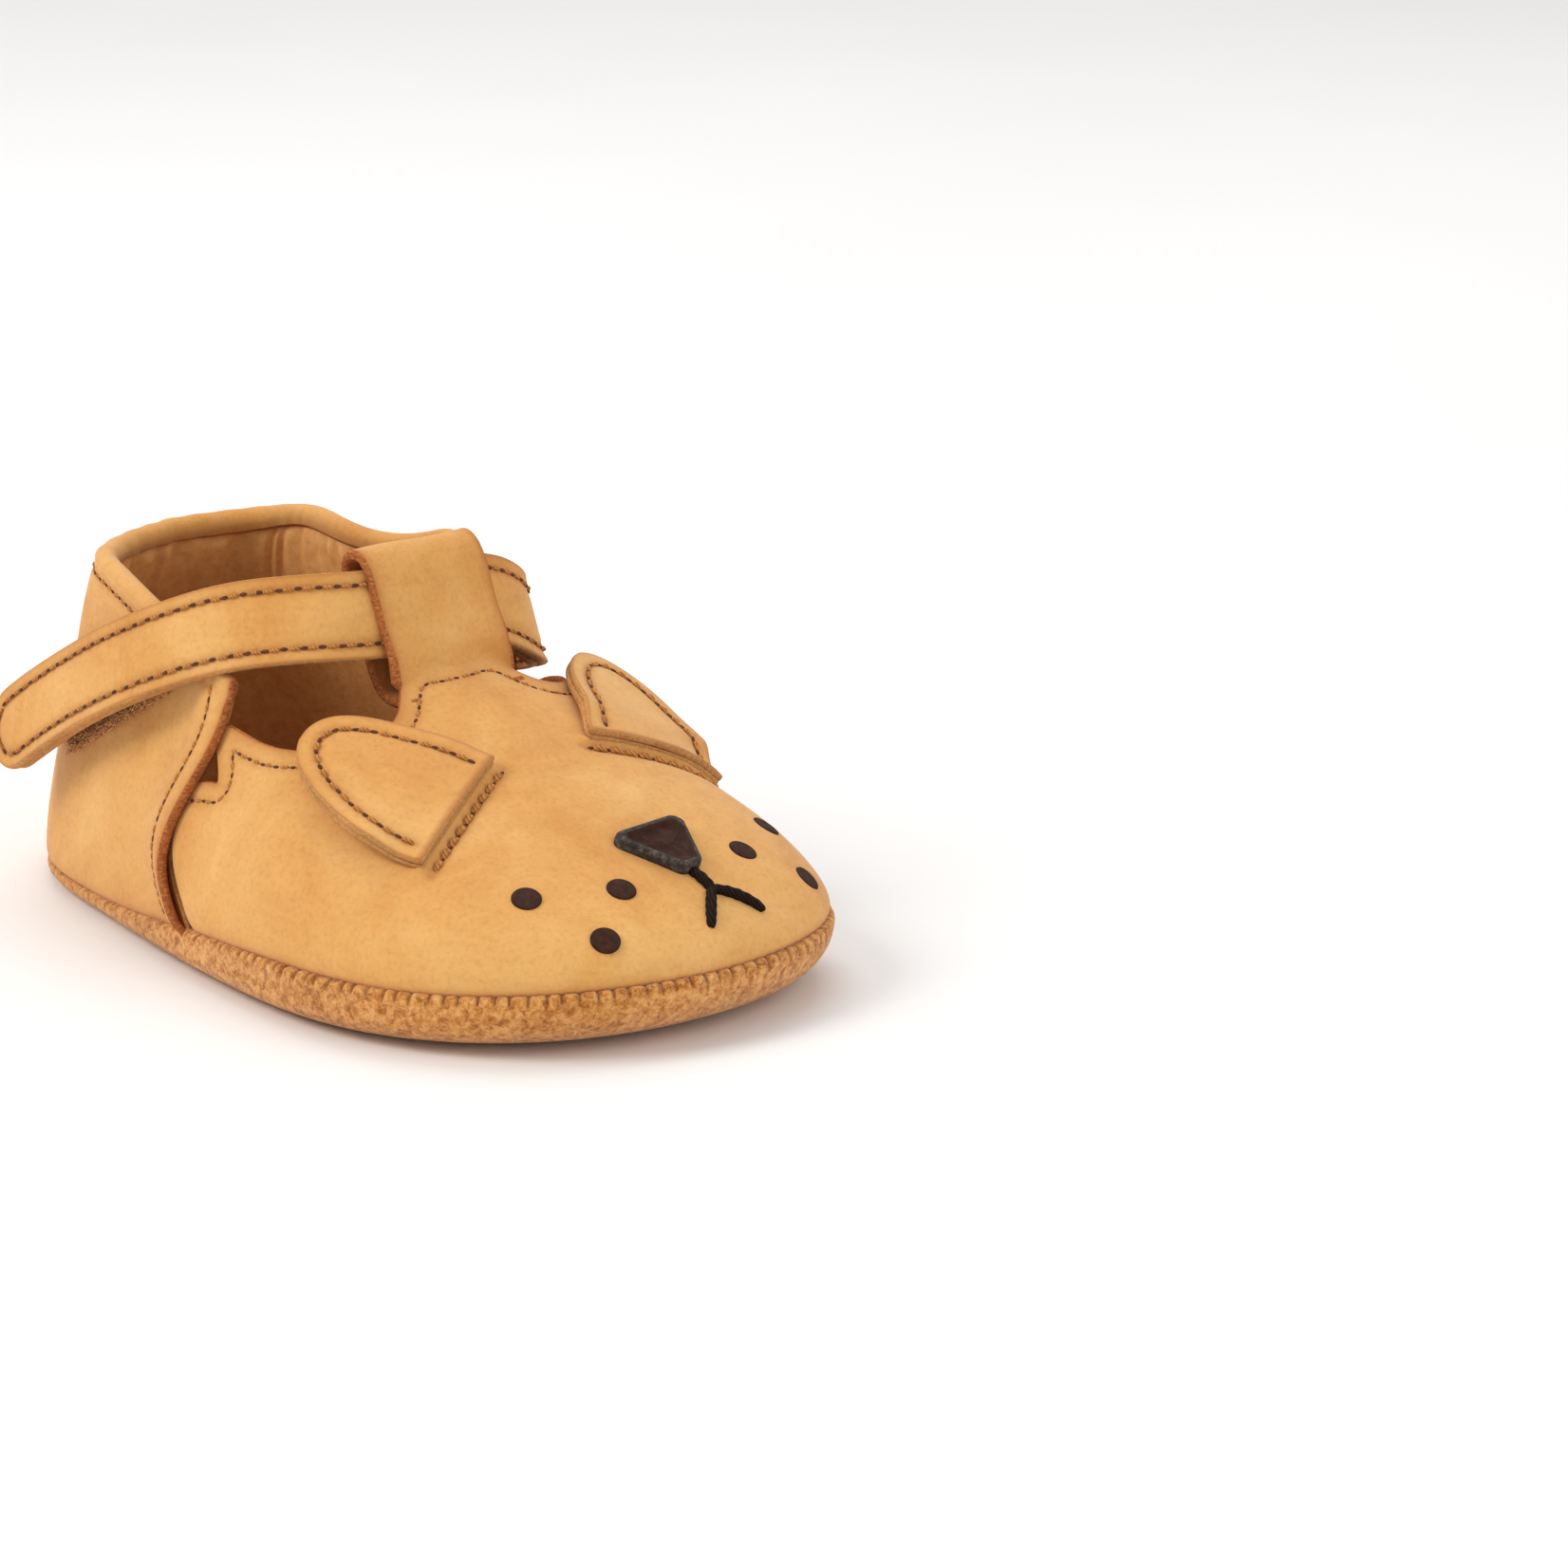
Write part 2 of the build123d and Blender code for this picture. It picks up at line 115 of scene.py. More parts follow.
class Curve:
    """A smooth (cubic spline) curve through values, at knots or at their chord lengths."""

    def __init__(self, values, knots=None, closed=False):
        values = np.asarray(values, float)
        if closed:
            values = np.concatenate([values, values[:1]])
        self.shape = values.shape[1:]
        values = values.reshape(len(values), -1)
        if knots is None:
            knots = lengths(values)
        self.knots, self.values, self.closed = np.asarray(knots, float), values, closed
        self.end = self.knots[-1]
        gap = np.diff(self.knots)
        slope = np.diff(values, axis=0) / gap[:, None]
        n = len(values)
        system, right = np.zeros((n, n)), np.zeros_like(values)
        for i in range(1, n - 1):
            system[i, i - 1: i + 2] = gap[i - 1], 2 * (gap[i - 1] + gap[i]), gap[i]
            right[i] = 6 * (slope[i] - slope[i - 1])
        if closed:
            system[0, 0], system[0, -1] = 1, -1
            system[-1, 0], system[-1, 1] = 2 * gap[0], gap[0]
            system[-1, -2], system[-1, -1] = gap[-1], 2 * gap[-1]
            right[-1] = 6 * (slope[0] - slope[-1])
        else:
            system[0, 0] = system[-1, -1] = 1
        self.bend = np.linalg.solve(system, right)

    def __call__(self, at):
        at = np.asarray(at, float)
        flat = at.ravel()
        if self.closed:
            flat = flat % self.end
        i = np.clip(np.searchsorted(self.knots, flat, side="right") - 1, 0, len(self.knots) - 2)
        gap = (self.knots[i + 1] - self.knots[i])[:, None]
        u = (flat - self.knots[i])[:, None] / gap
        v = 1 - u
        found = v * self.values[i] + u * self.values[i + 1]
        found += ((v**3 - v) * self.bend[i] + (u**3 - u) * self.bend[i + 1]) * gap**2 / 6
        return found.reshape(at.shape + self.shape)


def evenly(points, count):
    """The same line with evenly spaced points."""
    points = np.asarray(points, float)
    length = lengths(points)
    at = np.linspace(0, length[-1], count)
    return np.stack([np.interp(at, length, points[:, k]) for k in range(points.shape[1])], 1)


def distance_to(points, line):
    """Distance of each point to the nearest point of a densely sampled line."""
    tree = KDTree(len(line))
    for i, p in enumerate(line):
        tree.insert(p, i)
    tree.balance()
    flat = points.reshape(-1, 3)
    return np.array([tree.find(p)[2] for p in flat]).reshape(points.shape[:-1])


def grid_normals(grid):
    """Normals of a grid of points, columns running clockwise seen from outside."""
    return unit(np.cross(np.gradient(grid, axis=0), np.gradient(grid, axis=1)))


# ---- the foot-shaped block -----------------------------------------------------------------------------
def level_points(level):
    """Outline of the block at one level."""
    height, back, front, heel_scale, toe_scale = level
    shift = BLOCK_TOP_SHIFT * height / COLLAR_TOP
    points = []
    for x, y in OUTLINE:
        t = (x + 60) / 120
        points.append((back + t * (front - back), y * (heel_scale + (toe_scale - heel_scale) * t) + shift))
    return points


around = Curve(
    np.array([level_points(level) for level in LEVELS]).transpose(1, 0, 2),
    knots=lengths(np.array(OUTLINE + OUTLINE[:1], float)), closed=True,
)
level_shares = Curve(np.eye(len(LEVELS)), knots=[level[0] for level in LEVELS])


def on_block(s, z):
    """Points of the block at height z and a share s of the way round: heel, medial side, toe, lateral."""
    s, z = np.broadcast_arrays(np.asarray(s, float), np.asarray(z, float))
    rings = around(s.ravel() * around.end)
    shares = level_shares(np.clip(z.ravel(), 0, COLLAR_TOP))
    xy = (rings * shares[:, :, None]).sum(1)
    return np.concatenate([xy, z.reshape(-1, 1)], 1).reshape(s.shape + (3,))


def block_normal(s, z):
    """Outward normals of the block."""
    along = on_block(s + 0.002, z) - on_block(s - 0.002, z)
    up = on_block(s, np.clip(z + 0.15, 0, COLLAR_TOP)) - on_block(s, np.clip(z - 0.15, 0, COLLAR_TOP))
    return unit(np.cross(up, along))


seam_height = Curve([z for _, z in SOLE_SEAM], knots=[x for x, _ in SOLE_SEAM])
front_edge = {side: Curve([x for x, _ in e], knots=[z for _, z in e]) for side, e in QUARTER_FRONT.items()}
collar_height = {side: Curve([z for _, z in e], knots=[x for x, _ in e]) for side, e in COLLAR.items()}
throat_curve = Curve(THROAT_EDGE)
throat_line = throat_curve(np.linspace(0, throat_curve.end, 240))


def inside(points, polygon):
    """Whether plan points lie in a closed polygon."""
    x, y = points[..., 0, None], points[..., 1, None]
    a, b = polygon, np.roll(polygon, -1, 0)
    crosses = (a[:, 1] > y) != (b[:, 1] > y)
    at = a[:, 0] + (y - a[:, 1]) * (b[:, 0] - a[:, 0]) / (b[:, 1] - a[:, 1] + 1e-12)
    return (crosses & (x < at)).sum(-1) % 2 == 1


def seam_of(s):
    """Height of the CAD model's sole seam at s."""
    z = np.full(np.shape(s), 4.0)
    for _ in range(4):
        z = seam_height(on_block(s, z)[..., 0])
    return z


def throat_of(s):
    """Height where the column at s reaches the throat's edge."""
    low, high = np.full(np.shape(s), 8.0), np.full(np.shape(s), 46.0)
    for _ in range(15):
        middle = (low + high) / 2
        within = inside(on_block(s, middle)[..., :2], throat_line)
        low, high = np.where(within, low, middle), np.where(within, middle, high)
    return low


def collar_of(s):
    """Height of the collar at s."""
    z = np.full(np.shape(s), 40.0)
    for _ in range(12):
        p = on_block(s, z)
        lateral, medial = (collar_height[k](p[..., 0]) for k in ("lateral", "medial"))
        z = 0.5 * z + 0.5 * np.clip(np.where(p[..., 1] > SIDE_SPLIT, medial, lateral), 20, 46)
    return z


# ---- making meshes -------------------------------------------------------------------------------------
class Mesh:
    """Points, faces, material numbers, wear and painted shade of a piece that is put together from several
    shapes.
    """

    def __init__(self):
        self.points, self.faces, self.slots, self.wear_and_shade, self.count = [], [], [], [], 0

    def add(self, points, faces, slot=0, wear_and_shade=None):
        """Add a shape. slot is one material number or one for each face."""
        points = np.asarray(points, float).reshape(-1, 3)
        faces = np.asarray(faces, int)
        self.points.append(points)
        self.faces.extend((faces + self.count).tolist())
        self.slots.extend(np.broadcast_to(slot, len(faces)).tolist())
        self.wear_and_shade.append(np.zeros(len(points)) if wear_and_shade is None else np.asarray(wear_and_shade, float).ravel())
        self.count += len(points)
        return self

    def add_closed(self, rings, slot=0):
        """Add rings of points as a tube with both of its ends closed."""
        rows, cols = rings.shape[:2]
        self.add(rings, quads(rows, cols, wrap=True), slot)
        start = self.count - rows * cols
        self.faces.append(list(range(start + cols - 1, start - 1, -1)))
        self.faces.append(list(range(self.count - cols, self.count)))
        self.slots.extend([slot, slot])
        return self

    def make(self, name, looks, weld=False):
        """The Blender object. weld joins points that two shapes have in common."""
        mesh = bpy.data.meshes.new(name)
        points = np.concatenate(self.points) * MM
        mesh.from_pydata(points.tolist(), [], self.faces)
        mesh.attributes.new("wear_and_shade", "FLOAT", "POINT").data.foreach_set(
            "value", np.concatenate(self.wear_and_shade).astype(np.float32)
        )
        for look in looks:
            mesh.materials.append(look)
        mesh.polygons.foreach_set("material_index", self.slots)
        bm = bmesh.new()
        bm.from_mesh(mesh)
        if weld:
            bmesh.ops.remove_doubles(bm, verts=bm.verts, dist=2e-6)
        bmesh.ops.recalc_face_normals(bm, faces=bm.faces)
        bm.to_mesh(mesh)
        bm.free()
        mesh.polygons.foreach_set("use_smooth", [True] * len(mesh.polygons))
        piece = bpy.data.objects.new(name, mesh)
        bpy.context.scene.collection.objects.link(piece)
        return piece


def quads(rows, cols, wrap=False):
    """Faces of a grid of points, closed across its columns if wrap is set."""
    index = np.arange(rows * cols).reshape(rows, cols)
    here, after = (index, np.roll(index, -1, 1)) if wrap else (index[:, :-1], index[:, 1:])
    return np.stack([here[:-1], after[:-1], after[1:], here[1:]], -1).reshape(-1, 4)


def outer_path(rows, cols):
    """Indices of a grid's border, all the way round."""
    index = np.arange(rows * cols).reshape(rows, cols)
    return np.concatenate([index[0], index[1:, -1], index[-1, -2::-1], index[-2:0:-1, 0]])


def thick_sheet(mesh, outer, inner, rims=None, wrap=False, bulge=0.28, wear_and_shade=None, edge_wear=1.3):
    """A sheet between two grids, with material 0 outside, 1 inside and 2 on its raw edges.

    rims are (border indices, closed), and each gets a rounded edge.
    """
    rows, cols = outer.shape[:2]
    n = rows * cols
    faces = quads(rows, cols, wrap)
    if rims is None:
        index = np.arange(n).reshape(rows, cols)
        rims = [(index[0], True), (index[-1], True)] if wrap else [(outer_path(rows, cols), True)]
    flat_outer, flat_inner = outer.reshape(-1, 3), inner.reshape(-1, 3)
    wear_and_shade = np.zeros(n) if wear_and_shade is None else np.asarray(wear_and_shade, float).ravel().copy()
    if edge_wear and rims:
        border = np.concatenate([flat_outer[path] for path, _ in rims])
        near = distance_to(flat_outer, border)
        wear_and_shade = np.maximum(wear_and_shade, np.exp(-near / edge_wear))
    points, all_faces, wear_and_shade_parts = [flat_outer, flat_inner], [faces, faces[:, ::-1] + n], [wear_and_shade, wear_and_shade]
    slots = [np.zeros(len(faces), int), np.ones(len(faces), int)]
    count = 2 * n
    for path, closed in rims:
        path = np.asarray(path)
        r, c = path // cols, path % cols
        beside = np.clip(r, 1, rows - 2) * cols + (c if wrap else np.clip(c, 1, cols - 2))
        upper, lower = flat_outer[path], flat_inner[path]
        through = unit(upper - lower)
        away = upper - flat_outer[beside]
        away = unit(away - (away * through).sum(1, keepdims=True) * through)
        thickness = np.linalg.norm(upper - lower, axis=1, keepdims=True)
        for share, reach in ((0.2, 0.75), (0.5, 1.0), (0.8, 0.75)):
            points.append(upper * (1 - share) + lower * share + away * bulge * reach * thickness)
        m = len(path)
        chain = [path, count + np.arange(m), count + m + np.arange(m), count + 2 * m + np.arange(m), path + n]
        for a, b in zip(chain, chain[1:]):
            if closed:
                ring = np.stack([a, np.roll(a, -1), np.roll(b, -1), b], 1)
            else:
                ring = np.stack([a[:-1], a[1:], b[1:], b[:-1]], 1)
            all_faces.append(ring)
            slots.append(np.full(len(ring), 2))
        wear_and_shade_parts.append(np.ones(3 * m))
        count += 3 * m
    mesh.add(np.concatenate(points), np.concatenate(all_faces), np.concatenate(slots), np.concatenate(wear_and_shade_parts))
    return mesh


def press(points, normals, lines, depth=0.28, width=0.75):
    """Points pulled into the leather beside seams, and how much they were pulled, 0 to 1."""
    near = distance_to(points, np.concatenate(lines))
    pull = np.exp(-((near / width) ** 2))
    return points - normals * (pull * depth)[..., None], pull


def ripple(points, size, length):
    """Soft unevenness of hand-made leather."""
    x, y, z = (points[..., k] / length for k in range(3))
    wave = np.sin(x * 1.7 + 1.3 * np.sin(y * 1.1 + z))
    wave = wave + np.sin(y * 2.3 + 0.8 * np.sin(x * 1.9 - z * 1.4) + 2.0)
    return size * 0.5 * wave


STITCH_PITCH = 2.3
STITCH_STATIONS, STITCH_SIDES = 7, 6
SLIT_SIZE = (0.5, 0.25)    # half the length and half the width of a needle slit


def stitches(mesh, line, normals, pitch=2.4, share=0.6, radius=0.26, rise=0.14, lean=0.0):
    """Separate stitches of thread along a line (material 0), each after a needle slit in painted shade (1).
    """
    line, normals = np.asarray(line, float), np.asarray(normals, float)
    length = lengths(line)
    count = max(1, int(round(length[-1] / pitch)))
    pitch = length[-1] / count
    t = np.linspace(0, 1, STITCH_STATIONS)
    starts = (np.arange(count) + 0.5 - share / 2) * pitch + RNG.normal(0, 0.05, count) * pitch
    at = starts[:, None] + t[None] * share * pitch
    centre = np.stack([np.interp(at, length, line[:, k]) for k in range(3)], -1)
    out = unit(np.stack([np.interp(at, length, normals[:, k]) for k in range(3)], -1))
    along = unit(np.gradient(centre, axis=1))
    side = unit(np.cross(along, out))
    lift = (np.sin(np.pi * t) ** 0.6) * (rise + radius * 0.5) - radius * 0.75
    turn = lean + RNG.normal(0, 0.04, count)[:, None]
    centre = centre + out * lift[None, :, None]
    centre = centre + side * (turn * (t - 0.5)[None] * share * pitch)[..., None]
    thin = radius * (0.72 + 0.28 * np.sin(np.pi * t))
    angle = angles_round(STITCH_SIDES)
    c, n = np.cos(angle)[None, None, :, None], np.sin(angle)[None, None, :, None]
    rings = centre[:, :, None] + thin[None, :, None, None] * (side[:, :, None] * c + out[:, :, None] * n)
    for ring in rings:
        mesh.add_closed(ring)
    # Each needle hole is a dark slit of painted shade.
    dot = angles_round(10)
    slit = np.stack([np.cos(dot) * SLIT_SIZE[0], np.sin(dot) * SLIT_SIZE[1]], 1)
    for k in range(count):
        a, b, up = along[k, 0], side[k, 0], out[k, 0]
        place = centre[k, 0] - up * lift[0] - a * (1 - share) * pitch / 2
        low = place + slit[:, :1] * a + slit[:, 1:] * b - 0.05 * up
        high = place + 0.72 * slit[:, :1] * a + 0.7 * slit[:, 1:] * b + 0.07 * up
        mesh.add_closed(np.array([low, high]), 1)
    return mesh


# ---- looks ---------------------------------------------------------------------------------------------
def colour(code):
    """Linear colour of a hex code."""
    parts = [int(code[i: i + 2], 16) / 255 for i in (1, 3, 5)]
    return tuple(((c + 0.055) / 1.055) ** 2.4 if c > 0.04045 else c / 12.92 for c in parts) + (1.0,)


class Look:
    """A node material: a Principled shader and the nodes that feed it."""

    def __init__(self, name, **settings):
        self.material = bpy.data.materials.new(name)
        self.material.use_nodes = True
        self.tree = self.material.node_tree
        self.shader = self.tree.nodes["Principled BSDF"]
        self.place = self.node("ShaderNodeTexCoord").outputs["Object"]
        for socket, value in settings.items():
            self.shader.inputs[socket.replace("_", " ")].default_value = value

    def node(self, kind, **inputs):
        made = self.tree.nodes.new(kind)
        for name, value in inputs.items():
            self.feed(made.inputs[name.replace("_", " ")], value)
        return made

    def feed(self, socket, value):
        """Link a socket, or set its value."""
        if isinstance(value, bpy.types.NodeSocket):
            self.tree.links.new(value, socket)
        else:
            socket.default_value = value

    def noise(self, scale, detail=3.0, rough=0.55, distort=0.0, place=None):
        made = self.node(
            "ShaderNodeTexNoise", Vector=place or self.place, Scale=scale, Detail=detail, Roughness=rough,
            Distortion=distort,
        )
        return made.outputs["Fac"]

    def stretch(self, x, y, z):
        made = self.node("ShaderNodeMapping", Vector=self.place)
        made.inputs["Scale"].default_value = (x, y, z)
        return made.outputs["Vector"]

    def ramp(self, factor, stops):
        """Colours (hex codes) or grey levels at places from 0 to 1."""
        made = self.node("ShaderNodeValToRGB", Fac=factor)
        marks = made.color_ramp.elements
        while len(marks) < len(stops):
            marks.new(0.5)
        for mark, (place, value) in zip(marks, stops):
            mark.position = place
            mark.color = colour(value) if isinstance(value, str) else (value, value, value, 1)
        return made.outputs["Color"]

    def mix(self, factor, a, b, blend="MIX"):
        made = self.node("ShaderNodeMix")
        made.data_type, made.blend_type = "RGBA", blend
        self.feed(made.inputs[0], factor)
        self.feed(made.inputs[6], a)
        self.feed(made.inputs[7], b)
        return made.outputs[2]

    def shade(self, base, strength, factor, *stops):
        """A colour multiplied by the grey levels of a ramp."""
        return self.mix(strength, base, self.ramp(factor, stops), "MULTIPLY")

    def maths(self, operation, a, b=0.0):
        made = self.node("ShaderNodeMath")
        made.operation = operation
        made.use_clamp = operation != "SUBTRACT"
        self.feed(made.inputs[0], a)
        self.feed(made.inputs[1], b)
        return made.outputs[0]

    def wear_and_shade(self):
        """The worn and burnt places, and the painted shade, that the mesh stores."""
        made = self.node("ShaderNodeAttribute")
        made.attribute_name = "wear_and_shade"
        return made.outputs["Fac"]

    def finish(self, base, rough=None, height=None, depth=0.1, distance=0.0003):
        self.tree.links.new(base, self.shader.inputs["Base Color"])
        if rough is not None:
            self.tree.links.new(rough, self.shader.inputs["Roughness"])
        if height is not None:
            made = self.node("ShaderNodeBump", Strength=depth, Distance=distance, Height=height)
            self.tree.links.new(made.outputs["Normal"], self.shader.inputs["Normal"])
        return self.material


def nubuck_look(name, shades, burnt_and_shaded, nap=0.35, burn_and_shade=0.75):
    """Brushed leather: cloudy colour, short nap, and burnt edges; the same darker colour also paints shade.
    """
    look = Look(name, Sheen_Weight=0.18, Sheen_Roughness=0.45, Specular_IOR_Level=0.22)
    clouds = look.noise(55, 5, 0.6, 0.6)
    base = look.ramp(clouds, [(0.28, shades[0]), (0.5, shades[1]), (0.72, shades[2])])
    base = look.shade(base, 0.55, look.noise(1500, 3, 0.7), (0.32, 0.80), (0.5, 1.0), (0.75, 1.07))
    streaks = look.noise(240, 3, 0.6, place=look.stretch(1, 1, 4))
    base = look.shade(base, 0.5, streaks, (0.3, 0.93), (0.6, 1.03))
    worn_and_shaded = look.maths("MULTIPLY", look.wear_and_shade(), burn_and_shade)
    base = look.mix(worn_and_shaded, base, colour(burnt_and_shaded))
    rough = look.ramp(look.noise(400, 2), [(0.3, 0.82), (0.7, 0.95)])
    fine = look.maths("MULTIPLY", look.noise(2600, 4, 0.7), 0.55)
    coarse = look.maths("MULTIPLY", look.noise(420, 3, 0.6), 0.45)
    height = look.maths("ADD", fine, coarse)
    return look.finish(base, rough, height, nap, 0.00035)


def suede_look(name, shades, pits, worn_and_shaded):
    """Coarse split suede: clumped fibres with dark pits between them."""
    look = Look(name, Sheen_Weight=0.3, Sheen_Roughness=0.4, Specular_IOR_Level=0.15)
    bent = look.node("ShaderNodeVectorMath", Vector=look.place)
    bent.operation = "ADD"
    swirl = look.node("ShaderNodeTexNoise", Vector=look.place, Scale=900.0, Detail=2.0)
    scaled = look.node("ShaderNodeVectorMath")
    scaled.operation = "SCALE"
    look.feed(scaled.inputs[0], swirl.outputs["Color"])
    scaled.inputs["Scale"].default_value = 0.0006
    look.feed(bent.inputs[1], scaled.outputs[0])
    clumps = look.noise(1050, 4, 0.75, 0.4, place=bent.outputs[0])
    base = look.ramp(clumps, [(0.36, pits), (0.46, shades[0]), (0.56, shades[1]), (0.7, shades[2])])
    base = look.shade(base, 0.8, look.noise(60, 4, 0.6), (0.3, 0.86), (0.7, 1.06))
    # Worn places, and the painted shade that the outsole stores, take the darker worn colour.
    base = look.mix(look.maths("MULTIPLY", look.wear_and_shade(), 0.8), base, colour(worn_and_shaded))
    coarse = look.maths("MULTIPLY", clumps, 0.7)
    fine = look.maths("MULTIPLY", look.noise(3600, 3, 0.7), 0.3)
    height = look.maths("ADD", coarse, fine)
    rough = look.ramp(clumps, [(0.3, 0.98), (0.7, 0.84)])
    return look.finish(base, rough, height, 1.0, 0.0006)


def raw_edge_look(name, dark, middle, light):
    """The cut edge of leather: reddish, with the fibres showing."""
    look = Look(name, Specular_IOR_Level=0.2)
    fibres = look.noise(1900, 5, 0.75, 0.5, place=look.stretch(1, 1, 2.2))
    base = look.ramp(fibres, [(0.32, dark), (0.5, middle), (0.68, light)])
    base = look.shade(base, 0.8, look.noise(180, 3), (0.3, 0.8), (0.7, 1.1))
    rough = look.ramp(fibres, [(0.3, 0.95), (0.7, 0.75)])
    return look.finish(base, rough, fibres, 0.8, 0.0004)


def thread_look(name, dark, light, rough_low=0.55):
    """Sewing thread with its plies turned round each other."""
    look = Look(name, Specular_IOR_Level=0.12)
    plies = look.node("ShaderNodeTexWave", Vector=look.place, Scale=900.0, Distortion=3.0, Detail=2.0)
    plies.bands_direction = "DIAGONAL"
    base = look.ramp(plies.outputs["Fac"], [(0.15, dark), (0.75, light)])
    base = look.shade(base, 0.7, look.noise(500, 2), (0.3, 0.75), (0.7, 1.1))
    rough = look.ramp(look.noise(900, 2), [(0.3, rough_low), (0.7, 0.85)])
    return look.finish(base, rough, plies.outputs["Fac"], 0.5, 0.0002)


def plain_look(name, shades, scale, rough, depth, distance=0.0003, **settings):
    """A fine-grained material in three shades."""
    look = Look(name, **settings)
    spots = look.noise(scale, 4, 0.65)
    base = look.ramp(spots, [(0.3, shades[0]), (0.5, shades[1]), (0.72, shades[2])])
    roughness = look.ramp(look.noise(scale * 0.6, 3), [(0.3, rough[0]), (0.7, rough[1])])
    return look.finish(base, roughness, look.noise(scale * 1.6, 4, 0.7), depth, distance)


def metal_look():
    """Nickel-plated wire with fine scratches."""
    look = Look("ring_metal", Metallic=1.0)
    scratches = look.noise(700, 4, 0.7, place=look.stretch(1, 1, 6))
    base = look.ramp(scratches, [(0.3, "#B9AE9C"), (0.6, "#DDD3C2"), (0.8, "#EFE8DA")])
    rough = look.ramp(look.noise(160, 4, 0.7), [(0.3, 0.2), (0.7, 0.38)])
    return look.finish(base, rough, scratches, 0.12, 0.0001)


def floor_look():
    """The pale floor."""
    look = Look("floor_pale", Roughness=0.9, Specular_IOR_Level=0.1)
    base = look.ramp(look.noise(6, 2), [(0.3, "#F1F0EF"), (0.7, "#F5F4F3")])
    return look.finish(base)


NUBUCK_LOOK = nubuck_look("nubuck", ("#D08E47", "#DDA35B", "#E6B26D"), "#B0662E")
NUBUCK_INSIDE = nubuck_look("nubuck_flesh_side", ("#BC7736", "#CA8743", "#D49551"), "#9E5726", 0.6)
# The vamp lining and the insole are coloured dark red-brown as painted shade of the shoe's deep inside; the
# quarter lining keeps the lining's own orange.
LINING_PAINTED_SHADE_LOOK = plain_look(
    "lining_leather", ("#7E401C", "#8E4D26", "#9C5B31"), 700, (0.6, 0.78), 0.3, Specular_IOR_Level=0.3,
)
QUARTER_LINING_LOOK = plain_look(
    "quarter_lining_leather", ("#DB9752", "#E6A763", "#EEB572"), 700, (0.6, 0.78), 0.3,
    Specular_IOR_Level=0.3,
)
INSOLE_PAINTED_SHADE_LOOK = plain_look(
    "insole_leather", ("#5E2A12", "#6E3518", "#7E4222"), 500, (0.65, 0.82), 0.35, Specular_IOR_Level=0.25,
)
EDGE_LOOK = raw_edge_look("leather_raw_edge", "#8E4420", "#BC6C36", "#DB9A5E")
PALE_EDGE_LOOK = raw_edge_look("leather_pale_edge", "#B9793F", "#D39A5C", "#E2B277")
SUEDE_LOOK = suede_look("sole_suede", ("#D08842", "#E8A65C", "#F4BF7E"), "#A66228", "#8A4A1E")
THREAD_LOOK = thread_look("stitch_thread", "#B0713A", "#CF9352")
# Needle slits are coloured dark: painted shade inside the holes.
HOLE_SHADE_LOOK = plain_look("stitch_hole_painted_shade", ("#4A210D", "#5E2E13", "#733F1D"), 1500, (0.85, 0.95), 0.3)
STITCH_LOOKS = [THREAD_LOOK, HOLE_SHADE_LOOK]
DARK_LOOK = plain_look(
    "dark_leather", ("#2B170E", "#3A2015", "#4A2B1C"), 900, (0.6, 0.8), 0.45, Specular_IOR_Level=0.15)
DARK_EDGE_LOOK = plain_look("dark_raw_edge", ("#1D1512", "#3A302B", "#6F655C"), 1300, (0.8, 0.95), 0.9)
DARK_THREAD_LOOK = thread_look("dark_thread", "#120A06", "#2A1A11", 0.7)
PILE_LOOK = plain_look(
    "loop_pile", ("#C8894A", "#DDA263", "#ECBB82"), 1200, (0.8, 0.95), 0.6, Sheen_Weight=0.15,
)
HOOK_LOOK = plain_look("hook_tape", ("#B07A45", "#C28C55", "#CF9C66"), 600, (0.45, 0.6), 0.2)
FOAM_LOOK = plain_look("foam", ("#D8CFBC", "#E4DCCB", "#EEE8DA"), 1500, (0.85, 0.95), 0.8)
METAL_LOOK = metal_look()


# ---- where things are ----------------------------------------------------------------------------------
SHARES = np.linspace(0, 1, 1601)
# The sole's edge is drawn a little higher round the toe than the CAD model's plain seam.
SEAM_RAISE = 1.5
SEAM_TABLE = seam_of(SHARES)
SEAM_TABLE = SEAM_TABLE + SEAM_RAISE * ease((on_block(SHARES, SEAM_TABLE)[:, 0] + 30) / 50)


def from_table(table):
    """A function that finds a height at s in a table for all SHARES."""
    return lambda s: np.interp(s % 1, SHARES, table)


# Heights of the sole seam, of the throat's edge and of the collar at s.
seam_at, throat_at, collar_at = (from_table(k) for k in (SEAM_TABLE, throat_of(SHARES), collar_of(SHARES)))


def edge_share(side, top_of, v, behind, ahead, back):
    """Shares s where the rows v of a panel meet the line back mm behind the quarter's front edge."""
    behind, ahead = np.full(v.shape, behind), np.full(v.shape, ahead)
    for _ in range(14):
        s = (behind + ahead) / 2
        low = seam_at(s)
        z = low + v * (top_of(s) - low)
        is_ahead = on_block(s, z)[..., 0] > front_edge[side](z) - back
        behind, ahead = np.where(is_ahead, behind, s), np.where(is_ahead, s, ahead)
    return (behind + ahead) / 2


UNDERLAP = 5.0             # the vamp runs on this far under the quarter
MEDIAL_SPAN, LATERAL_SPAN = (0.10, 0.47), (0.92, 0.55)    # s from well behind to well before the edges


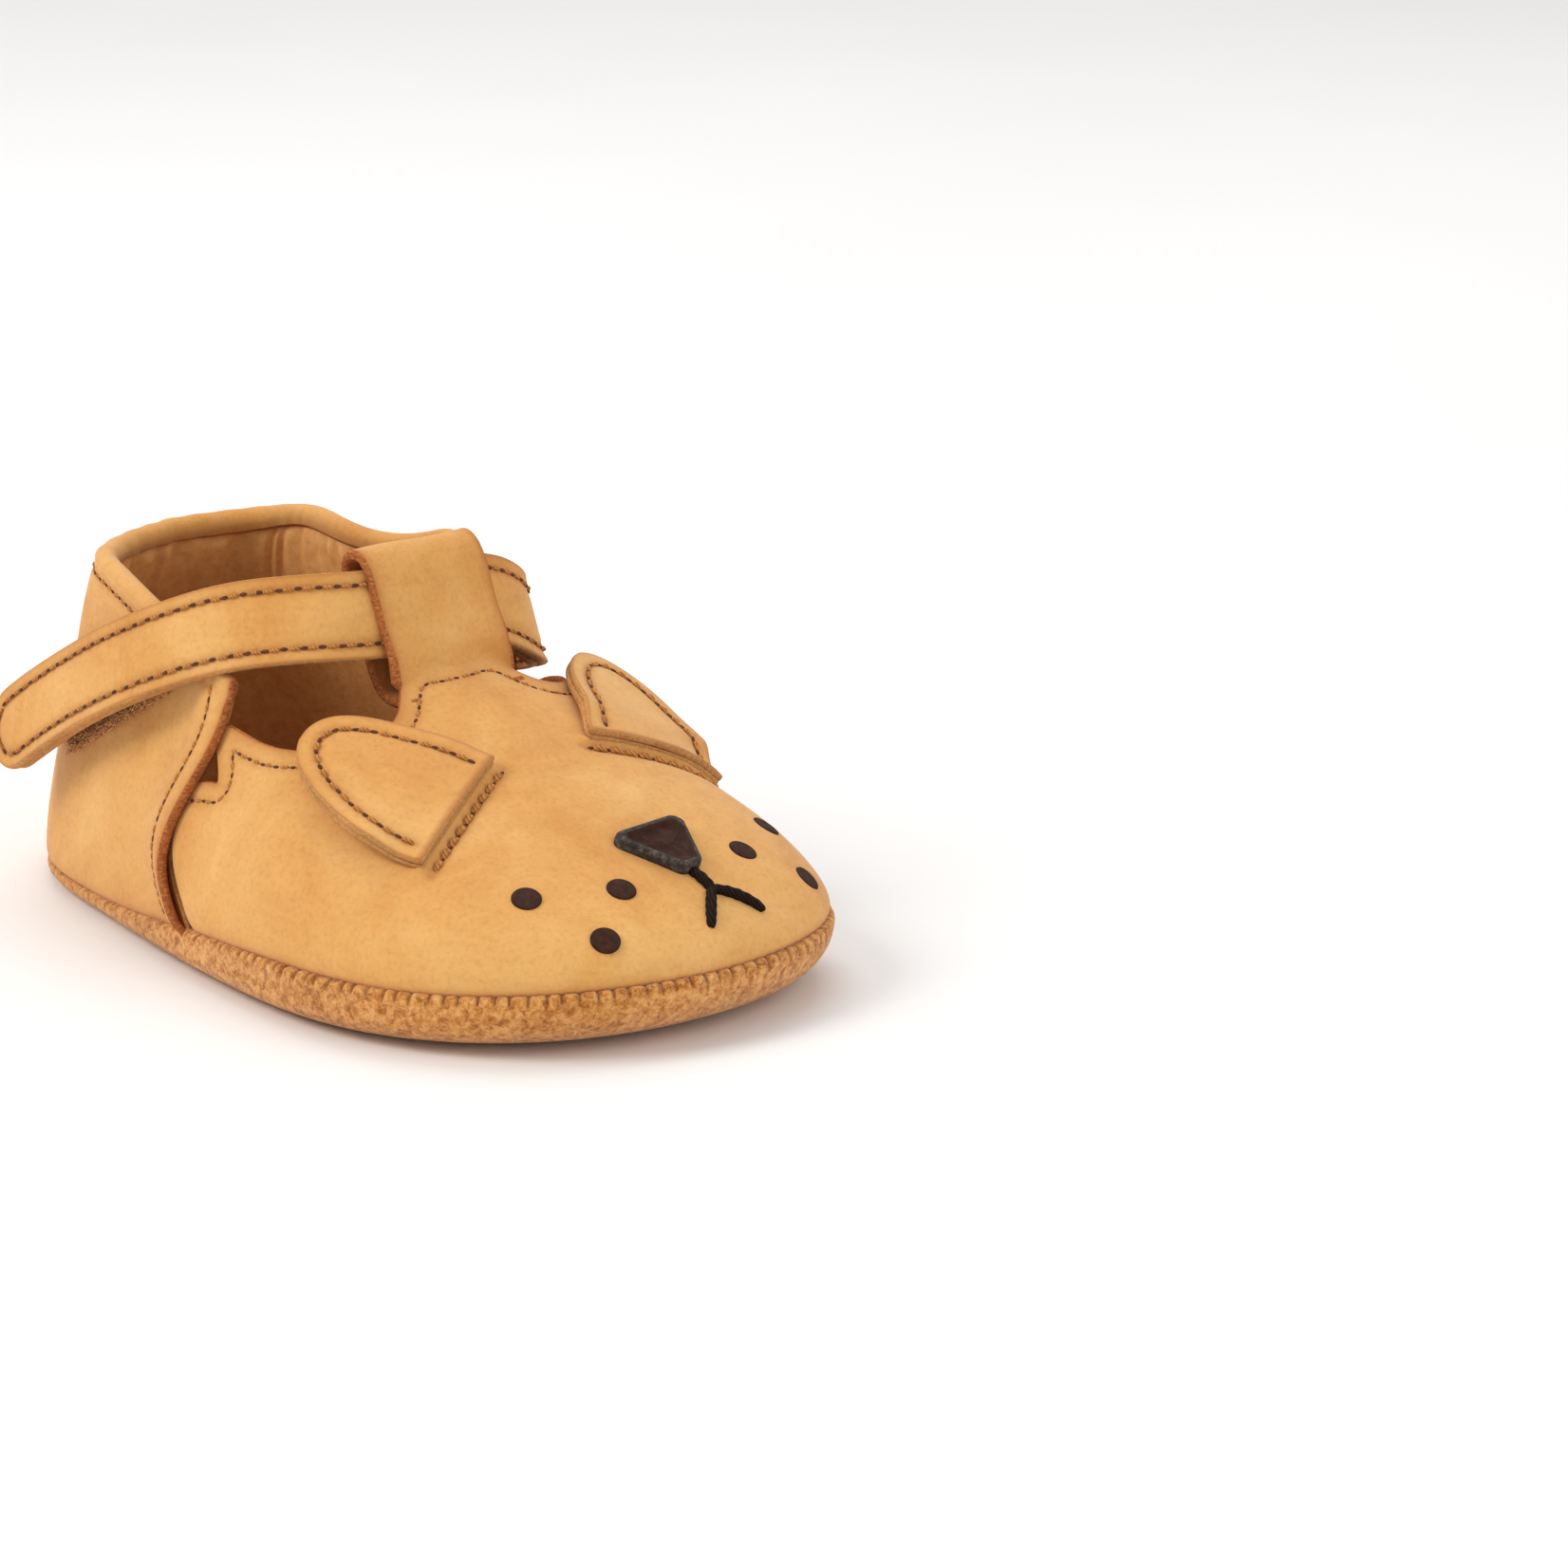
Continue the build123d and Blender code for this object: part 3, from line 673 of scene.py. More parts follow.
def panel_grid(top_at, rows, cols, back, bottom, top_cut=0.0, heel=False):
    """Rows and columns (s, z) of a panel between the front edges, round the toe or round the heel."""
    v = np.linspace(0, 1, rows)
    medial = edge_share("medial", top_at, v, *MEDIAL_SPAN, back)
    lateral = edge_share("lateral", top_at, v, *LATERAL_SPAN, back)
    first, last = (lateral - 1, medial) if heel else (medial, lateral)
    s = first[:, None] + (last - first)[:, None] * np.linspace(0, 1, cols)
    low = seam_at(s) + bottom
    return s, low + v[:, None] * (top_at(s) - top_cut - low)


def behind_edge(points):
    """How far a point of the upper lies behind the quarter's front edge, along X."""
    z = points[..., 2]
    edge = np.where(points[..., 1] > SIDE_SPLIT, front_edge["medial"](z), front_edge["lateral"](z))
    return edge - points[..., 0]


def inset_line(grid, normals, inset, side, reach=60):
    """The line that lies inset mm from a border of a grid, with its normals."""
    turned = {
        "top": (grid[::-1], normals[::-1]),
        "left": (grid.transpose(1, 0, 2), normals.transpose(1, 0, 2)),
        "right": (grid[:, ::-1].transpose(1, 0, 2), normals[:, ::-1].transpose(1, 0, 2)),
    }
    g, n = turned[side]
    far = distance_to(g[:reach], evenly(g[0], 700))
    row = np.clip(np.argmax(far > inset, axis=0), 1, reach - 1)
    k = np.arange(g.shape[1])
    a, b = far[row - 1, k], far[row, k]
    t = np.clip((inset - a) / np.maximum(b - a, 1e-6), 0, 1)[:, None]
    return g[row - 1, k] * (1 - t) + g[row, k] * t, n[row - 1, k] * (1 - t) + n[row, k] * t


block_s, block_z = np.meshgrid(np.linspace(0, 1, 361), np.linspace(1, 49, 130))
block_points = on_block(block_s, block_z)
block_tree = BVHTree.FromPolygons(block_points.reshape(-1, 3).tolist(), quads(130, 361).tolist())


def drop(x, y):
    """Point and normal of the upper's outside above a plan position."""
    point, normal, _, _ = block_tree.ray_cast(Vector((x, y, 90)), Vector((0, 0, -1)))
    return np.array(point), np.array(normal) * (1 if normal.z > 0 else -1)


def nearest(point):
    """Nearest point and normal of the upper's outside."""
    found, normal, _, _ = block_tree.find_nearest(Vector(point))
    outwards = np.array([found.x * 0.2, found.y, 12.0])
    sign = 1 if np.dot(outwards, normal) > 0 else -1
    return np.array(found), np.array(normal) * sign


FACE_TURN = math.radians(6)
FACE_START = (12.0, 1.5)


def face_point(along, side):
    """Plan position from the distance along the face's middle line and to its medial side."""
    x = FACE_START[0] + along * math.cos(FACE_TURN) - side * math.sin(FACE_TURN)
    y = FACE_START[1] + along * math.sin(FACE_TURN) + side * math.cos(FACE_TURN)
    return x, y


# ---- ears: where they are sewn on ----------------------------------------------------------------------
EAR_SHAPE = [
    (-0.2, 0), (0, 9.4), (0.8, 15.2), (3.4, 19.2), (7.6, 20.2), (12.6, 17.6), (17, 11.6), (19.7, 5.1),
    (20, 0),
]
EAR_LEAN = {"lateral": 0, "medial": 0.2}   # how far the tip leans down the base line, per mm of height
# Top end and low end of each base line, and the tip that the ear points to.
EAR_LINES = {
    "lateral": ((26.6, -5.6, 27.4), (34.3, -22.3, 19.6), (9, -20.3, 29.5)),
    "medial": ((25.6, 11.4, 27.8), (27.6, 27.2, 20.0), (10.5, 24, 28.5)),
}
EAR_STAND_OFF, EAR_LEATHER = 0.7, 0.8
EAR_CURL = 0.7


class EarPlane:
    """p runs down the base line, q to the tip, level outwards from the shoe."""

    def __init__(self, side):
        top, low, tip = (np.array(p, float) for p in EAR_LINES[side])
        self.top, self.p = top, unit(low - top)
        rise = tip - top
        self.q = unit(rise - self.p * rise.dot(self.p))
        self.out = np.cross(self.p, self.q)
        self.out = self.out * (1 if self.out[2] > 0 else -1)

    def flat(self, p, q, level):
        return self.top + self.p * p + self.q * q + self.out * level

    def sewn(self, p, q, level):
        """As flat, but bent down to the vamp towards the base line."""
        plane_point = self.flat(p, q, level)
        found, normal = nearest(self.flat(p, q, 0))
        low = found + normal * (level - EAR_STAND_OFF + 0.1)
        share = ease((q + 0.5) / 7.0)
        return low * (1 - share) + plane_point * share

    def line(self, q, start=-1.0, end=20.6, count=60):
        """A line on the vamp parallel to the ear's base line, with its normals."""
        found = [nearest(self.flat(p, q, 0)) for p in np.linspace(start, end, count)]
        return np.array([f[0] for f in found]), np.array([f[1] for f in found])


EARS = {side: EarPlane(side) for side in EAR_LINES}
EAR_SEAM_AHEAD = -2.3      # the base seam lies this far before the base line

# ---- vamp, with the T-bar that goes over the strap and back down behind it -----------------------------
TUCK = 1.5                 # depth of the upper's border inside the sole
BAR_CENTRE = np.array([5.2, 2.8, 41.0])
BAR_UP, BAR_FACE = np.array([-0.33, 0, 0.944]), np.array([0.944, 0, 0.33])
BAR_HALF = 8.5
# The T-bar's outer face in side view: up the front, over the strap, down the back and under the vamp.
BAR_PROFILE = [
    (-5.9, 2.95), (-2, 2.85), (2, 2.8), (5.5, 2.6), (7.7, 1.4), (8.3, -0.4), (7.5, -2.1), (5, -2.85),
    (0, -2.9), (-4, -2.8), (-7.2, -2.6), (-9.6, -1.5), (-10.9, 0.4), (-11.6, 2.6), (-12.1, 4.6),
]


def tucked(points, normals, s):
    """The upper's lower border turned in to the sole seam."""
    above = points[..., 2] - seam_at(s)
    turn = -0.9 * np.exp(-np.clip(above, 0, None) / 0.75) - 0.45 * np.clip(-above, 0, None)
    return points + normals * turn[..., None]


def sole_shade(s, z):
    """Painted shade on the upper just above the sole, where it meets the sole's rim."""
    return 0.8 * np.exp(-np.clip(z - seam_at(s), 0, None) / 0.7)


def under_quarter(points):
    """1 where the quarter lies on the vamp, 0 before its front edge."""
    return ease((behind_edge(points) + 1.2) / 2.2)


SEAM_LINES = {}            # seam lines of the upper and their normals, for its stitches


def vamp_top(s):
    """The throat's edge, and lower where the vamp runs on behind the quarter."""
    hidden = behind_edge(on_block(s, throat_at(s)))
    return throat_at(s) - 6.0 * ease((hidden - 0.8) / 2.5)


def make_vamp():
    """The vamp with its T-bar."""
    s, z = panel_grid(vamp_top, 96, 340, UNDERLAP, -TUCK)
    normals = block_normal(s, z)
    outer = tucked(on_block(s, z), normals, s)
    lap = -1.25 * under_quarter(outer)
    outer = outer + normals * (lap + ripple(outer, 0.16, 9.0))[..., None]
    topline, topline_normals = inset_line(outer, normals, 2.3, "top")
    wear_and_shade = np.zeros(s.shape)
    for ear in EARS.values():
        ridge, _ = ear.line(-0.9)
        away = distance_to(outer, evenly(ridge, 120))
        outer = outer + normals * (0.55 * np.exp(-((away / 0.75) ** 2)))[..., None]
        seam, _ = ear.line(EAR_SEAM_AHEAD)
        outer, pull = press(outer, normals, [evenly(seam, 120)], 0.4, 0.7)
        wear_and_shade = np.maximum(wear_and_shade, 0.55 * pull)
    shown = behind_edge(topline) < 1.0
    SEAM_LINES["topline"] = topline[shown], topline_normals[shown]
    outer, pull = press(outer, normals, [evenly(topline[shown], 500)], 0.22, 0.8)
    wear_and_shade = np.maximum(wear_and_shade, 0.35 * pull)
    # Painted shade just above the sole.
    wear_and_shade = np.maximum(wear_and_shade, sole_shade(s, z))
    inner = outer - normals * NUBUCK

    rows, cols = s.shape
    top = outer[-1]
    on_bar = np.nonzero((np.abs(top[:, 1] - BAR_CENTRE[1]) < BAR_HALF) & (top[:, 0] > 8))[0]
    first, last = on_bar[0], on_bar[-1]
    index = np.arange(rows * cols).reshape(rows, cols)
    border = np.concatenate([
        index[-1, last:], index[-2::-1, -1], index[0, -2::-1], index[1:, 0], index[-1, 1: first + 1],
    ])
    mesh = Mesh()
    thick_sheet(mesh, outer, inner, rims=[(border, False)], wear_and_shade=wear_and_shade, edge_wear=0.8)

    middle = (first + last) // 2
    start_xz = top[first: last + 1, ::2]
    profile_start = start_xz.mean(0)
    before = outer[-7, middle, ::2] - outer[-1, middle, ::2] + profile_start
    bar_xz = [BAR_CENTRE[::2] + BAR_UP[::2] * a + BAR_FACE[::2] * b for a, b in BAR_PROFILE]
    profile = Curve(np.array([before, profile_start] + bar_xz))
    t = np.linspace(profile.knots[1], profile.end, 110)
    run = (t - t[0])[:, None]
    xz = profile(t)[:, None] + (start_xz - profile_start)[None] * (1 - ease(run / 7))[..., None]
    wanted_y = np.linspace(top[first, 1], top[last, 1], last - first + 1)
    wanted_y = BAR_CENTRE[1] + (wanted_y - wanted_y.mean()) * 2 * BAR_HALF / np.ptp(wanted_y)
    y = top[first: last + 1, 1] * (1 - ease(run / 5)) + wanted_y * ease(run / 5)
    y = y + 0.25 * np.sin(run * 0.21 + 0.6) * ease(run / 6)
    bar = np.stack([xz[..., 0], y, xz[..., 1]], -1)
    bar_normals = grid_normals(bar)
    if bar_normals[20, 10, 0] < 0:
        bar_normals = -bar_normals
    bar = bar + bar_normals * (ripple(bar, 0.14, 5.0) * ease(run / 6))[..., None]
    bar[0] = top[first: last + 1]
    bar_inner = bar - bar_normals * NUBUCK
    bar_inner[0] = inner[-1, first: last + 1]
    bar_rows, bar_cols = bar.shape[:2]
    bar_index = np.arange(bar_rows * bar_cols).reshape(bar_rows, bar_cols)
    bar_border = np.concatenate([bar_index[:, 0], bar_index[-1, 1:], bar_index[-2::-1, -1]])
    thick_sheet(mesh, bar, bar_inner, rims=[(bar_border, False)], edge_wear=0.8)
    piece = mesh.make("vamp_leather", [NUBUCK_LOOK, NUBUCK_INSIDE, EDGE_LOOK], weld=True)
    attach(piece, "shoe")
    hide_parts("vamp")


def make_vamp_lining():
    """The thin leather inside the vamp."""
    s, z = panel_grid(vamp_top, 60, 200, UNDERLAP, -0.5, 0.35)
    normals = block_normal(s, z)
    base = on_block(s, z)
    base = base - normals * under_quarter(base)[..., None]
    outer = base - normals * (NUBUCK + 0.05)
    inner = outer - normals * LINING
    mesh = thick_sheet(Mesh(), outer, inner, edge_wear=0.8)
    piece = mesh.make("vamp_lining_leather", [LINING_PAINTED_SHADE_LOOK, LINING_PAINTED_SHADE_LOOK, PALE_EDGE_LOOK])
    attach(piece, "shoe")
    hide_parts("vamp_lining")


# ---- heel quarter --------------------------------------------------------------------------------------
ROLL = 0.8                 # middle radius of the collar's turned edge
HALF_NUBUCK = NUBUCK / 2
LAP_RISE = 1.6             # the quarter's front edge lies on the vamp
TURNED_IN = 0.9
# Name of each seam line, its distance from a border of the quarter, the border, and the stitched columns.
QUARTER_SEAMS = [
    ("collar", 1.35, "top", slice(12, -12)),
    ("lateral_front", 3.1, "left", slice(8, -3)),
    ("medial_front", 3.1, "right", slice(8, -3)),
]


def make_quarter():
    """The heel quarter with its collar turned in."""
    s, z = panel_grid(collar_at, 84, 380, 0.0, -TUCK, ROLL + HALF_NUBUCK, heel=True)
    normals = block_normal(s, z)
    surface = on_block(s, z)
    lift = LAP_RISE * np.exp(-((np.clip(behind_edge(surface), 0, None) / 4.5) ** 2))
    gathers = 0.05 * np.sin(s * 2 * math.pi * 46 + 2 * np.sin(s * 40))
    gathers = gathers * ease((z - 34) / 8) * ease((0.2 - abs(s)) / 0.1)
    sag = -0.5 * np.exp(-(((z - 27) / 9) ** 2)) * np.exp(-((s / 0.2) ** 2))
    outer = tucked(surface, normals, s)
    outer = outer + normals * (lift + gathers + sag + ripple(outer, 0.22, 11.0))[..., None]

    up = unit(outer[-1] - outer[-3])
    out = normals[-1]
    room = np.minimum(np.arange(s.shape[1]), np.arange(s.shape[1])[::-1])[:, None]
    roll = ROLL * (0.35 + 0.65 * ease(room / 40))
    centre = outer[-1] - out * (HALF_NUBUCK + roll)
    rolled_outer, rolled_inner = [], []
    for angle in np.linspace(0, math.pi, 16)[1:]:
        direction = out * math.cos(angle) + up * math.sin(angle)
        rolled_outer.append(centre + direction * (roll + HALF_NUBUCK))
        rolled_inner.append(centre + direction * np.maximum(roll - HALF_NUBUCK, 0.02))
    for depth in np.linspace(0, TURNED_IN, 7)[1:]:
        rolled_outer.append(centre - out * (roll + HALF_NUBUCK) - up * depth)
        rolled_inner.append(centre - out * np.maximum(roll - HALF_NUBUCK, 0.02) - up * depth)
    seams = []
    for name, inset, border, keep in QUARTER_SEAMS:
        line, line_normals = inset_line(outer, normals, inset, border)
        SEAM_LINES[name] = line[keep], line_normals[keep]
        seams.append(evenly(line, 400))
    outer, pull = press(outer, normals, seams, 0.25, 0.8)
    # Painted shade just above the sole.
    wear_and_shade = np.maximum(0.35 * pull, sole_shade(s, z))
    # The turned collar is painted a little darker all along: painted shade of the rolled edge.
    wear_and_shade = np.concatenate([wear_and_shade, np.full((len(rolled_outer), s.shape[1]), 0.22)])
    inner = np.concatenate([outer - normals * NUBUCK, rolled_inner])
    outer = np.concatenate([outer, rolled_outer])
    mesh = thick_sheet(Mesh(), outer, inner, wear_and_shade=wear_and_shade, edge_wear=0.7)
    piece = mesh.make("heel_quarter_leather", [NUBUCK_LOOK, NUBUCK_INSIDE, EDGE_LOOK])
    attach(piece, "shoe")
    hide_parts("heel_quarter")


def make_quarter_lining():
    """The lining, gathered by the elastic in the collar."""
    s, z = panel_grid(collar_at, 90, 460, 1.2, -0.5, ROLL + HALF_NUBUCK + 0.3, heel=True)
    normals = block_normal(s, z)
    turns = s * 2 * math.pi * 34 + 2.2 * np.sin(s * 55 + 0.7) + 1.1 * np.sin(s * 131)
    folds = 0.5 + 0.5 * np.sin(turns)
    from_top = collar_at(s) - z
    pulled = ease((z - 22) / 14) * ease((from_top - 2.0) / 2.4) * ease((0.32 - abs(s + 0.01)) / 0.12)
    surface = on_block(s, z)
    depth = NUBUCK + 0.15 + 0.35 * ease((z - 30) / 8) + 0.6 * folds * pulled
    depth = depth - 0.9 * np.exp(-((np.clip(behind_edge(surface), 0, None) / 4.0) ** 2))
    outer = surface - normals * depth[..., None]
    inner = outer - normals * 0.55
    mesh = thick_sheet(Mesh(), outer, inner, edge_wear=0.3)
    piece = mesh.make("quarter_lining_leather", [QUARTER_LINING_LOOK, QUARTER_LINING_LOOK, PALE_EDGE_LOOK])
    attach(piece, "shoe")
    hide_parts("quarter_lining", "collar_elastic")


# ---- sole ----------------------------------------------------------------------------------------------
EMBLEM_PLACE, EMBLEM_RADIUS, EMBLEM_DEPTH = (-33.0, 1.0), 12.15, 0.4
SPINE_SHARE, SPINE_Y = 0.62, 0.8
NOTCH_PITCH, NOTCH_COUNT = 1.95, 190


def spine(points):
    """The middle line of the sole that the rows of a flat part run in to."""
    return np.stack([points[..., 0] * SPINE_SHARE, np.full(points.shape[:-1], SPINE_Y), points[..., 2]], -1)


def make_outsole():
    """The suede sole, which curls up to the seam."""
    cols = 1300
    s = np.linspace(0, 1, cols, endpoint=False)
    top = seam_at(s)
    length = s * around.end
    # Whip stitches pull notches into the suede's upper edge, deeper round the toe.
    number = np.arange(NOTCH_COUNT)
    stations = np.cumsum(NOTCH_PITCH + 0.3 * np.sin(number * 1.9) + 0.22 * np.sin(number * 4.3))
    stations = stations[stations < around.end - 1.5]
    gap = np.abs(length[:, None] - stations[None]).min(1)
    x = on_block(s, top)[:, 0]
    strength = 0.08 + 0.92 * ease((x + 12) / 40)
    notch = np.exp(-((gap / 0.22) ** 2)) * strength
    puff = np.sin(np.clip(gap / 0.8, 0, 1) * math.pi / 2) * strength
    rows, wear_and_shade_parts, normals = [], [], []
    # The upper edge, from inside over a rounded rim to the outside: height above the seam, and outwards.
    rim = [
        (-1.7, -2.6), (-0.9, -2.4), (-0.2, -1.9), (0.18, -1.25), (0.3, -0.7), (0.2, -0.2), (-0.05, 0.08),
        (-0.4, 0.24),
    ]
    for lift, offset in rim:
        z = top + lift - 0.25 * notch
        normal = block_normal(s, z)
        fade = ease((offset + 1.4) / 1.0)
        rows.append(on_block(s, z) + normal * (offset - 0.36 * notch * fade + 0.06 * puff * fade)[:, None])
        # The notches are painted darker, as painted shade, and so is the rim's inner side.
        wear_and_shade_parts.append(np.clip(notch * fade + 0.5 * (1 - fade), 0, 1))
        normals.append(normal)
    for share in np.linspace(0, 1, 16)[1:]:
        z = (top - 0.4) * (1 - share)
        normal = block_normal(s, z)
        down = (top - 0.4) - z
        fade = np.exp(-((down / 0.55) ** 1.5))
        bulge = 0.24 + 0.12 * math.sin(math.pi * min(1, share * 1.3)) - 0.2 * share
        offset = bulge - (0.45 * notch - 0.08 * puff) * fade
        rows.append(on_block(s, z) + normal * offset[:, None])
        # Painted shade in the notches below the rim.
        wear_and_shade_parts.append(np.clip(notch * fade, 0, 1))
        normals.append(normal)
    edge = rows[-1]
    edge[:, 2] = 0.0
    rows[-2][:, 2] = np.maximum(rows[-2][:, 2], 0.12)
    normals[-1] = unit(normals[-1] * np.array([1, 1, 0]) + np.array([0, 0, -1.0]))
    middle = spine(edge)
    for k in np.linspace(1, 0, 64)[1:]:
        row = middle + (edge - middle) * k
        away = np.hypot(row[:, 0] - EMBLEM_PLACE[0], row[:, 1] - EMBLEM_PLACE[1])
        groove = np.exp(-(((away - EMBLEM_RADIUS) / 0.5) ** 4))
        row[:, 2] = EMBLEM_DEPTH * groove
        rows.append(row)
        wear_and_shade_parts.append(0.75 * groove)
        normals.append(np.tile([0, 0, -1.0], (cols, 1)))
    outer, normals = np.array(rows), np.array(normals)
    inner = outer - normals * SUEDE * 0.8
    mesh = Mesh()
    first_row = np.arange(cols)
    thick_sheet(mesh, outer, inner, rims=[(first_row, True)], wrap=True, wear_and_shade=np.array(wear_and_shade_parts), edge_wear=0)
    piece = mesh.make("outsole_suede", [SUEDE_LOOK, NUBUCK_INSIDE, EDGE_LOOK], weld=True)
    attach(piece, "shoe")
    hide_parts("outsole")


INSOLE_EDGE_LEVEL, INSOLE_LOW = 5.0, 3.9


def make_insole():
    """The soft pad that the foot stands on."""
    cols = 220
    s = np.linspace(0, 1, cols, endpoint=False)
    level = np.full(cols, INSOLE_EDGE_LEVEL)
    edge = on_block(s, level) - block_normal(s, level) * 3.9
    middle = spine(edge)
    tops, bottoms = [], []
    for k in np.linspace(1, 0.0, 40):
        row = middle + (edge - middle) * k
        crown = 0.55 * (1 - k**4) + 0.18 * np.sin(row[:, 0] * 0.11 + 1.0) * (1 - k**2)
        dent = 0.35 * np.exp(-(((row[:, 0] + 34) / 12) ** 2 + ((row[:, 1] - 1) / 10) ** 2))
        tops.append(np.stack([row[:, 0], row[:, 1], 4.55 + crown - dent], 1))
        bottoms.append(np.stack([row[:, 0], row[:, 1], np.full(cols, INSOLE_LOW)], 1))
    tops, bottoms = np.array(tops), np.array(bottoms)
    tops[..., 2] += ripple(tops, 0.1, 6.0)
    mesh = thick_sheet(Mesh(), tops, bottoms, rims=[(np.arange(cols), True)], wrap=True, edge_wear=0.9)
    piece = mesh.make("insole_pad", [INSOLE_PAINTED_SHADE_LOOK, INSOLE_PAINTED_SHADE_LOOK, PALE_EDGE_LOOK], weld=True)
    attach(piece, "shoe")
    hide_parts("insole")


# ---- strap ---------------------------------------------------------------------------------------------
STRAP_HALF_WIDTH, STRAP_LEATHER = 5.2, 1.2
LAYER_LEVEL = 0.625
WALL_ORIGIN = np.array([-18, 21.0, 27.0])
WALL_OUT = unit(np.array([0, 0.96, 0.28]))
WALL_ALONG = np.array([0.94, -0.095, 0.325])
WALL_ALONG = unit(WALL_ALONG - WALL_OUT * WALL_ALONG.dot(WALL_OUT))
WALL_DOWN = np.cross(WALL_OUT, WALL_ALONG)
RING_HALF, RING_HEIGHT = 3.2, 3.6
LOOP_RADIUS = 1.825
BAND_HEIGHT = 4.1


def on_wall(along, out, down=0.0):
    """A point from its place on the medial wall, and its height above it."""
    return WALL_ORIGIN + WALL_ALONG * along + WALL_OUT * out + WALL_DOWN * down


def loop_station(angle):
    """A station of the strap round the ring's front bar, by its angle in degrees."""
    c, n = math.cos(math.radians(angle)), math.sin(math.radians(angle))
    place = on_wall(RING_HALF + LOOP_RADIUS * c, RING_HEIGHT + LOOP_RADIUS * n)
    return place, WALL_ALONG * c + WALL_OUT * n


LOOP_STATIONS = [
    (on_wall(13.4, BAND_HEIGHT), -WALL_OUT), (on_wall(9.5, 3.85), -WALL_OUT), (on_wall(6.0, 2.45), -WALL_OUT),
    *[loop_station(angle) for angle in (270, 225, 180, 135, 90)], (on_wall(6.6, 4.95), WALL_OUT),
]
MAIN_STATIONS = [
    (on_wall(11.3, BAND_HEIGHT), WALL_OUT),
    ((-3.4, 23.9, 33.0), (0.2, 0.93, 0.3)),
    ((1.2, 21.9, 34.9), (0.7, 0.62, 0.35)),
    ((4.3, 17.0, 38.3), (0.9, 0.25, 0.35)),
    ((5.2, 11.8, 40.5), (0.944, 0, 0.33)),
    ((5.2, 2.8, 41.0), (0.944, 0, 0.33)),
    ((5.15, -6.2, 41.25), (0.944, 0, 0.33)),
    ((2.4, -12.4, 41.3), (0.72, -0.55, 0.4)),
    ((-4.5, -18.5, 40.0), (0.35, -0.87, 0.36)),
    ((-13.5, -22.8, 36.5), (0.05, -0.95, 0.3)),
    ((-23.5, -23.9, 31.9), (-0.1, -0.95, 0.26)),
    ((-33.0, -23.6, 27.0), (-0.14, -0.95, 0.25)),
    ((-41.0, -23.6, 22.2), (-0.1, -0.95, 0.25)),
    ((-46.6, -24.0, 18.4), (-0.1, -0.95, 0.25)),
]
HOOK_FROM, HOOK_TO = 10, 12.25     # stations of the hook tape
HOOK_HALF_WIDTH, HOOK_TAPE, HOOK_GAP = 4.3, 0.35, 0.95


class Ribbon:
    """A strap's middle line with the way that its outer face looks."""

    def __init__(self, stations):
        self.line = Curve([np.array(p, float) for p, _ in stations])
        self.facing = Curve([unit(np.array(f, float)) for _, f in stations], knots=self.line.knots)
        self.end = self.line.end

    def frame(self, t):
        along = unit(self.line(t + 0.05) - self.line(t - 0.05))
        out = self.facing(t)
        out = unit(out - along * (out * along).sum(-1, keepdims=True))
        return self.line(t), along, out, np.cross(along, out)

    def at(self, t, w, level):
        centre, _, out, side = self.frame(t)
        return centre + side * np.asarray(w)[..., None] + out * np.asarray(level)[..., None], out


def tip_width(left):
    """The strap's half width at a distance from its rounded tip."""
    r = STRAP_HALF_WIDTH
    share = np.clip((r - left) / r, 0, 1)
    return r * np.sqrt(np.clip(1 - share**2.3, 0, 1))


def strap_rows(end, start=0.0, step=0.6):
    """Places along the strap, closer together towards the tip."""
    r = STRAP_HALF_WIDTH
    body = np.arange(start, end - r, step)
    tip = end - r + r * np.sin(np.linspace(0, math.pi / 2 - 0.09, 20))
    return np.concatenate([body, tip])


SEAM_IN = 1.6              # the strap's stitches from its edge


def blend_strap(piece):
    """Bakes the strap piece's transform into its mesh."""
    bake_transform(piece)


def strap_seam(ribbon, start, level):
    """The stitch line: along one edge, round the tip and back along the other."""
    inner = STRAP_HALF_WIDTH - SEAM_IN
    last = ribbon.end - SEAM_IN
    straight = np.arange(start, last - inner, 0.4)
    angle = np.linspace(-math.pi / 2, math.pi / 2, 24)[1:-1]
    t = np.concatenate([straight, last - inner + inner * np.cos(angle), straight[::-1]])
    w = np.concatenate([np.full(len(straight), -inner), inner * np.sin(angle), np.full(len(straight), inner)])
    return ribbon.at(t, w, np.full(len(t), level))


def make_strap_layer(name, ribbon, start, side, nodes, seam):
    """One leather layer; side is 1 for the outer one and -1 for the lining."""
    t = strap_rows(ribbon.end, start)
    w = np.linspace(-1, 1, 35)
    half = tip_width(ribbon.end - t) - (0.0 if side > 0 else 0.25)
    width = half[:, None] * w
    tt = np.broadcast_to(t[:, None], width.shape)
    pillow = 0.14 * (1 - (np.clip(np.abs(width) / 3.2, 0, 1)) ** 2)
    top = 0.05 + STRAP_LEATHER + pillow
    far, out = ribbon.at(tt, width, side * top)
    near, _ = ribbon.at(tt, width, np.full(width.shape, side * 0.04))
    far, pull = press(far, out * side, [seam], 0.26, 0.7)
    far = far + out * side * ripple(far, 0.1, 6.0)[..., None]
    mesh = thick_sheet(Mesh(), far, near, wear_and_shade=0.3 * pull, edge_wear=0.3, bulge=0.16)
    looks = [NUBUCK_LOOK if side > 0 else NUBUCK_INSIDE, NUBUCK_INSIDE, PALE_EDGE_LOOK]
    piece = mesh.make(name, looks)
    blend_strap(piece)
    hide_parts(*nodes)


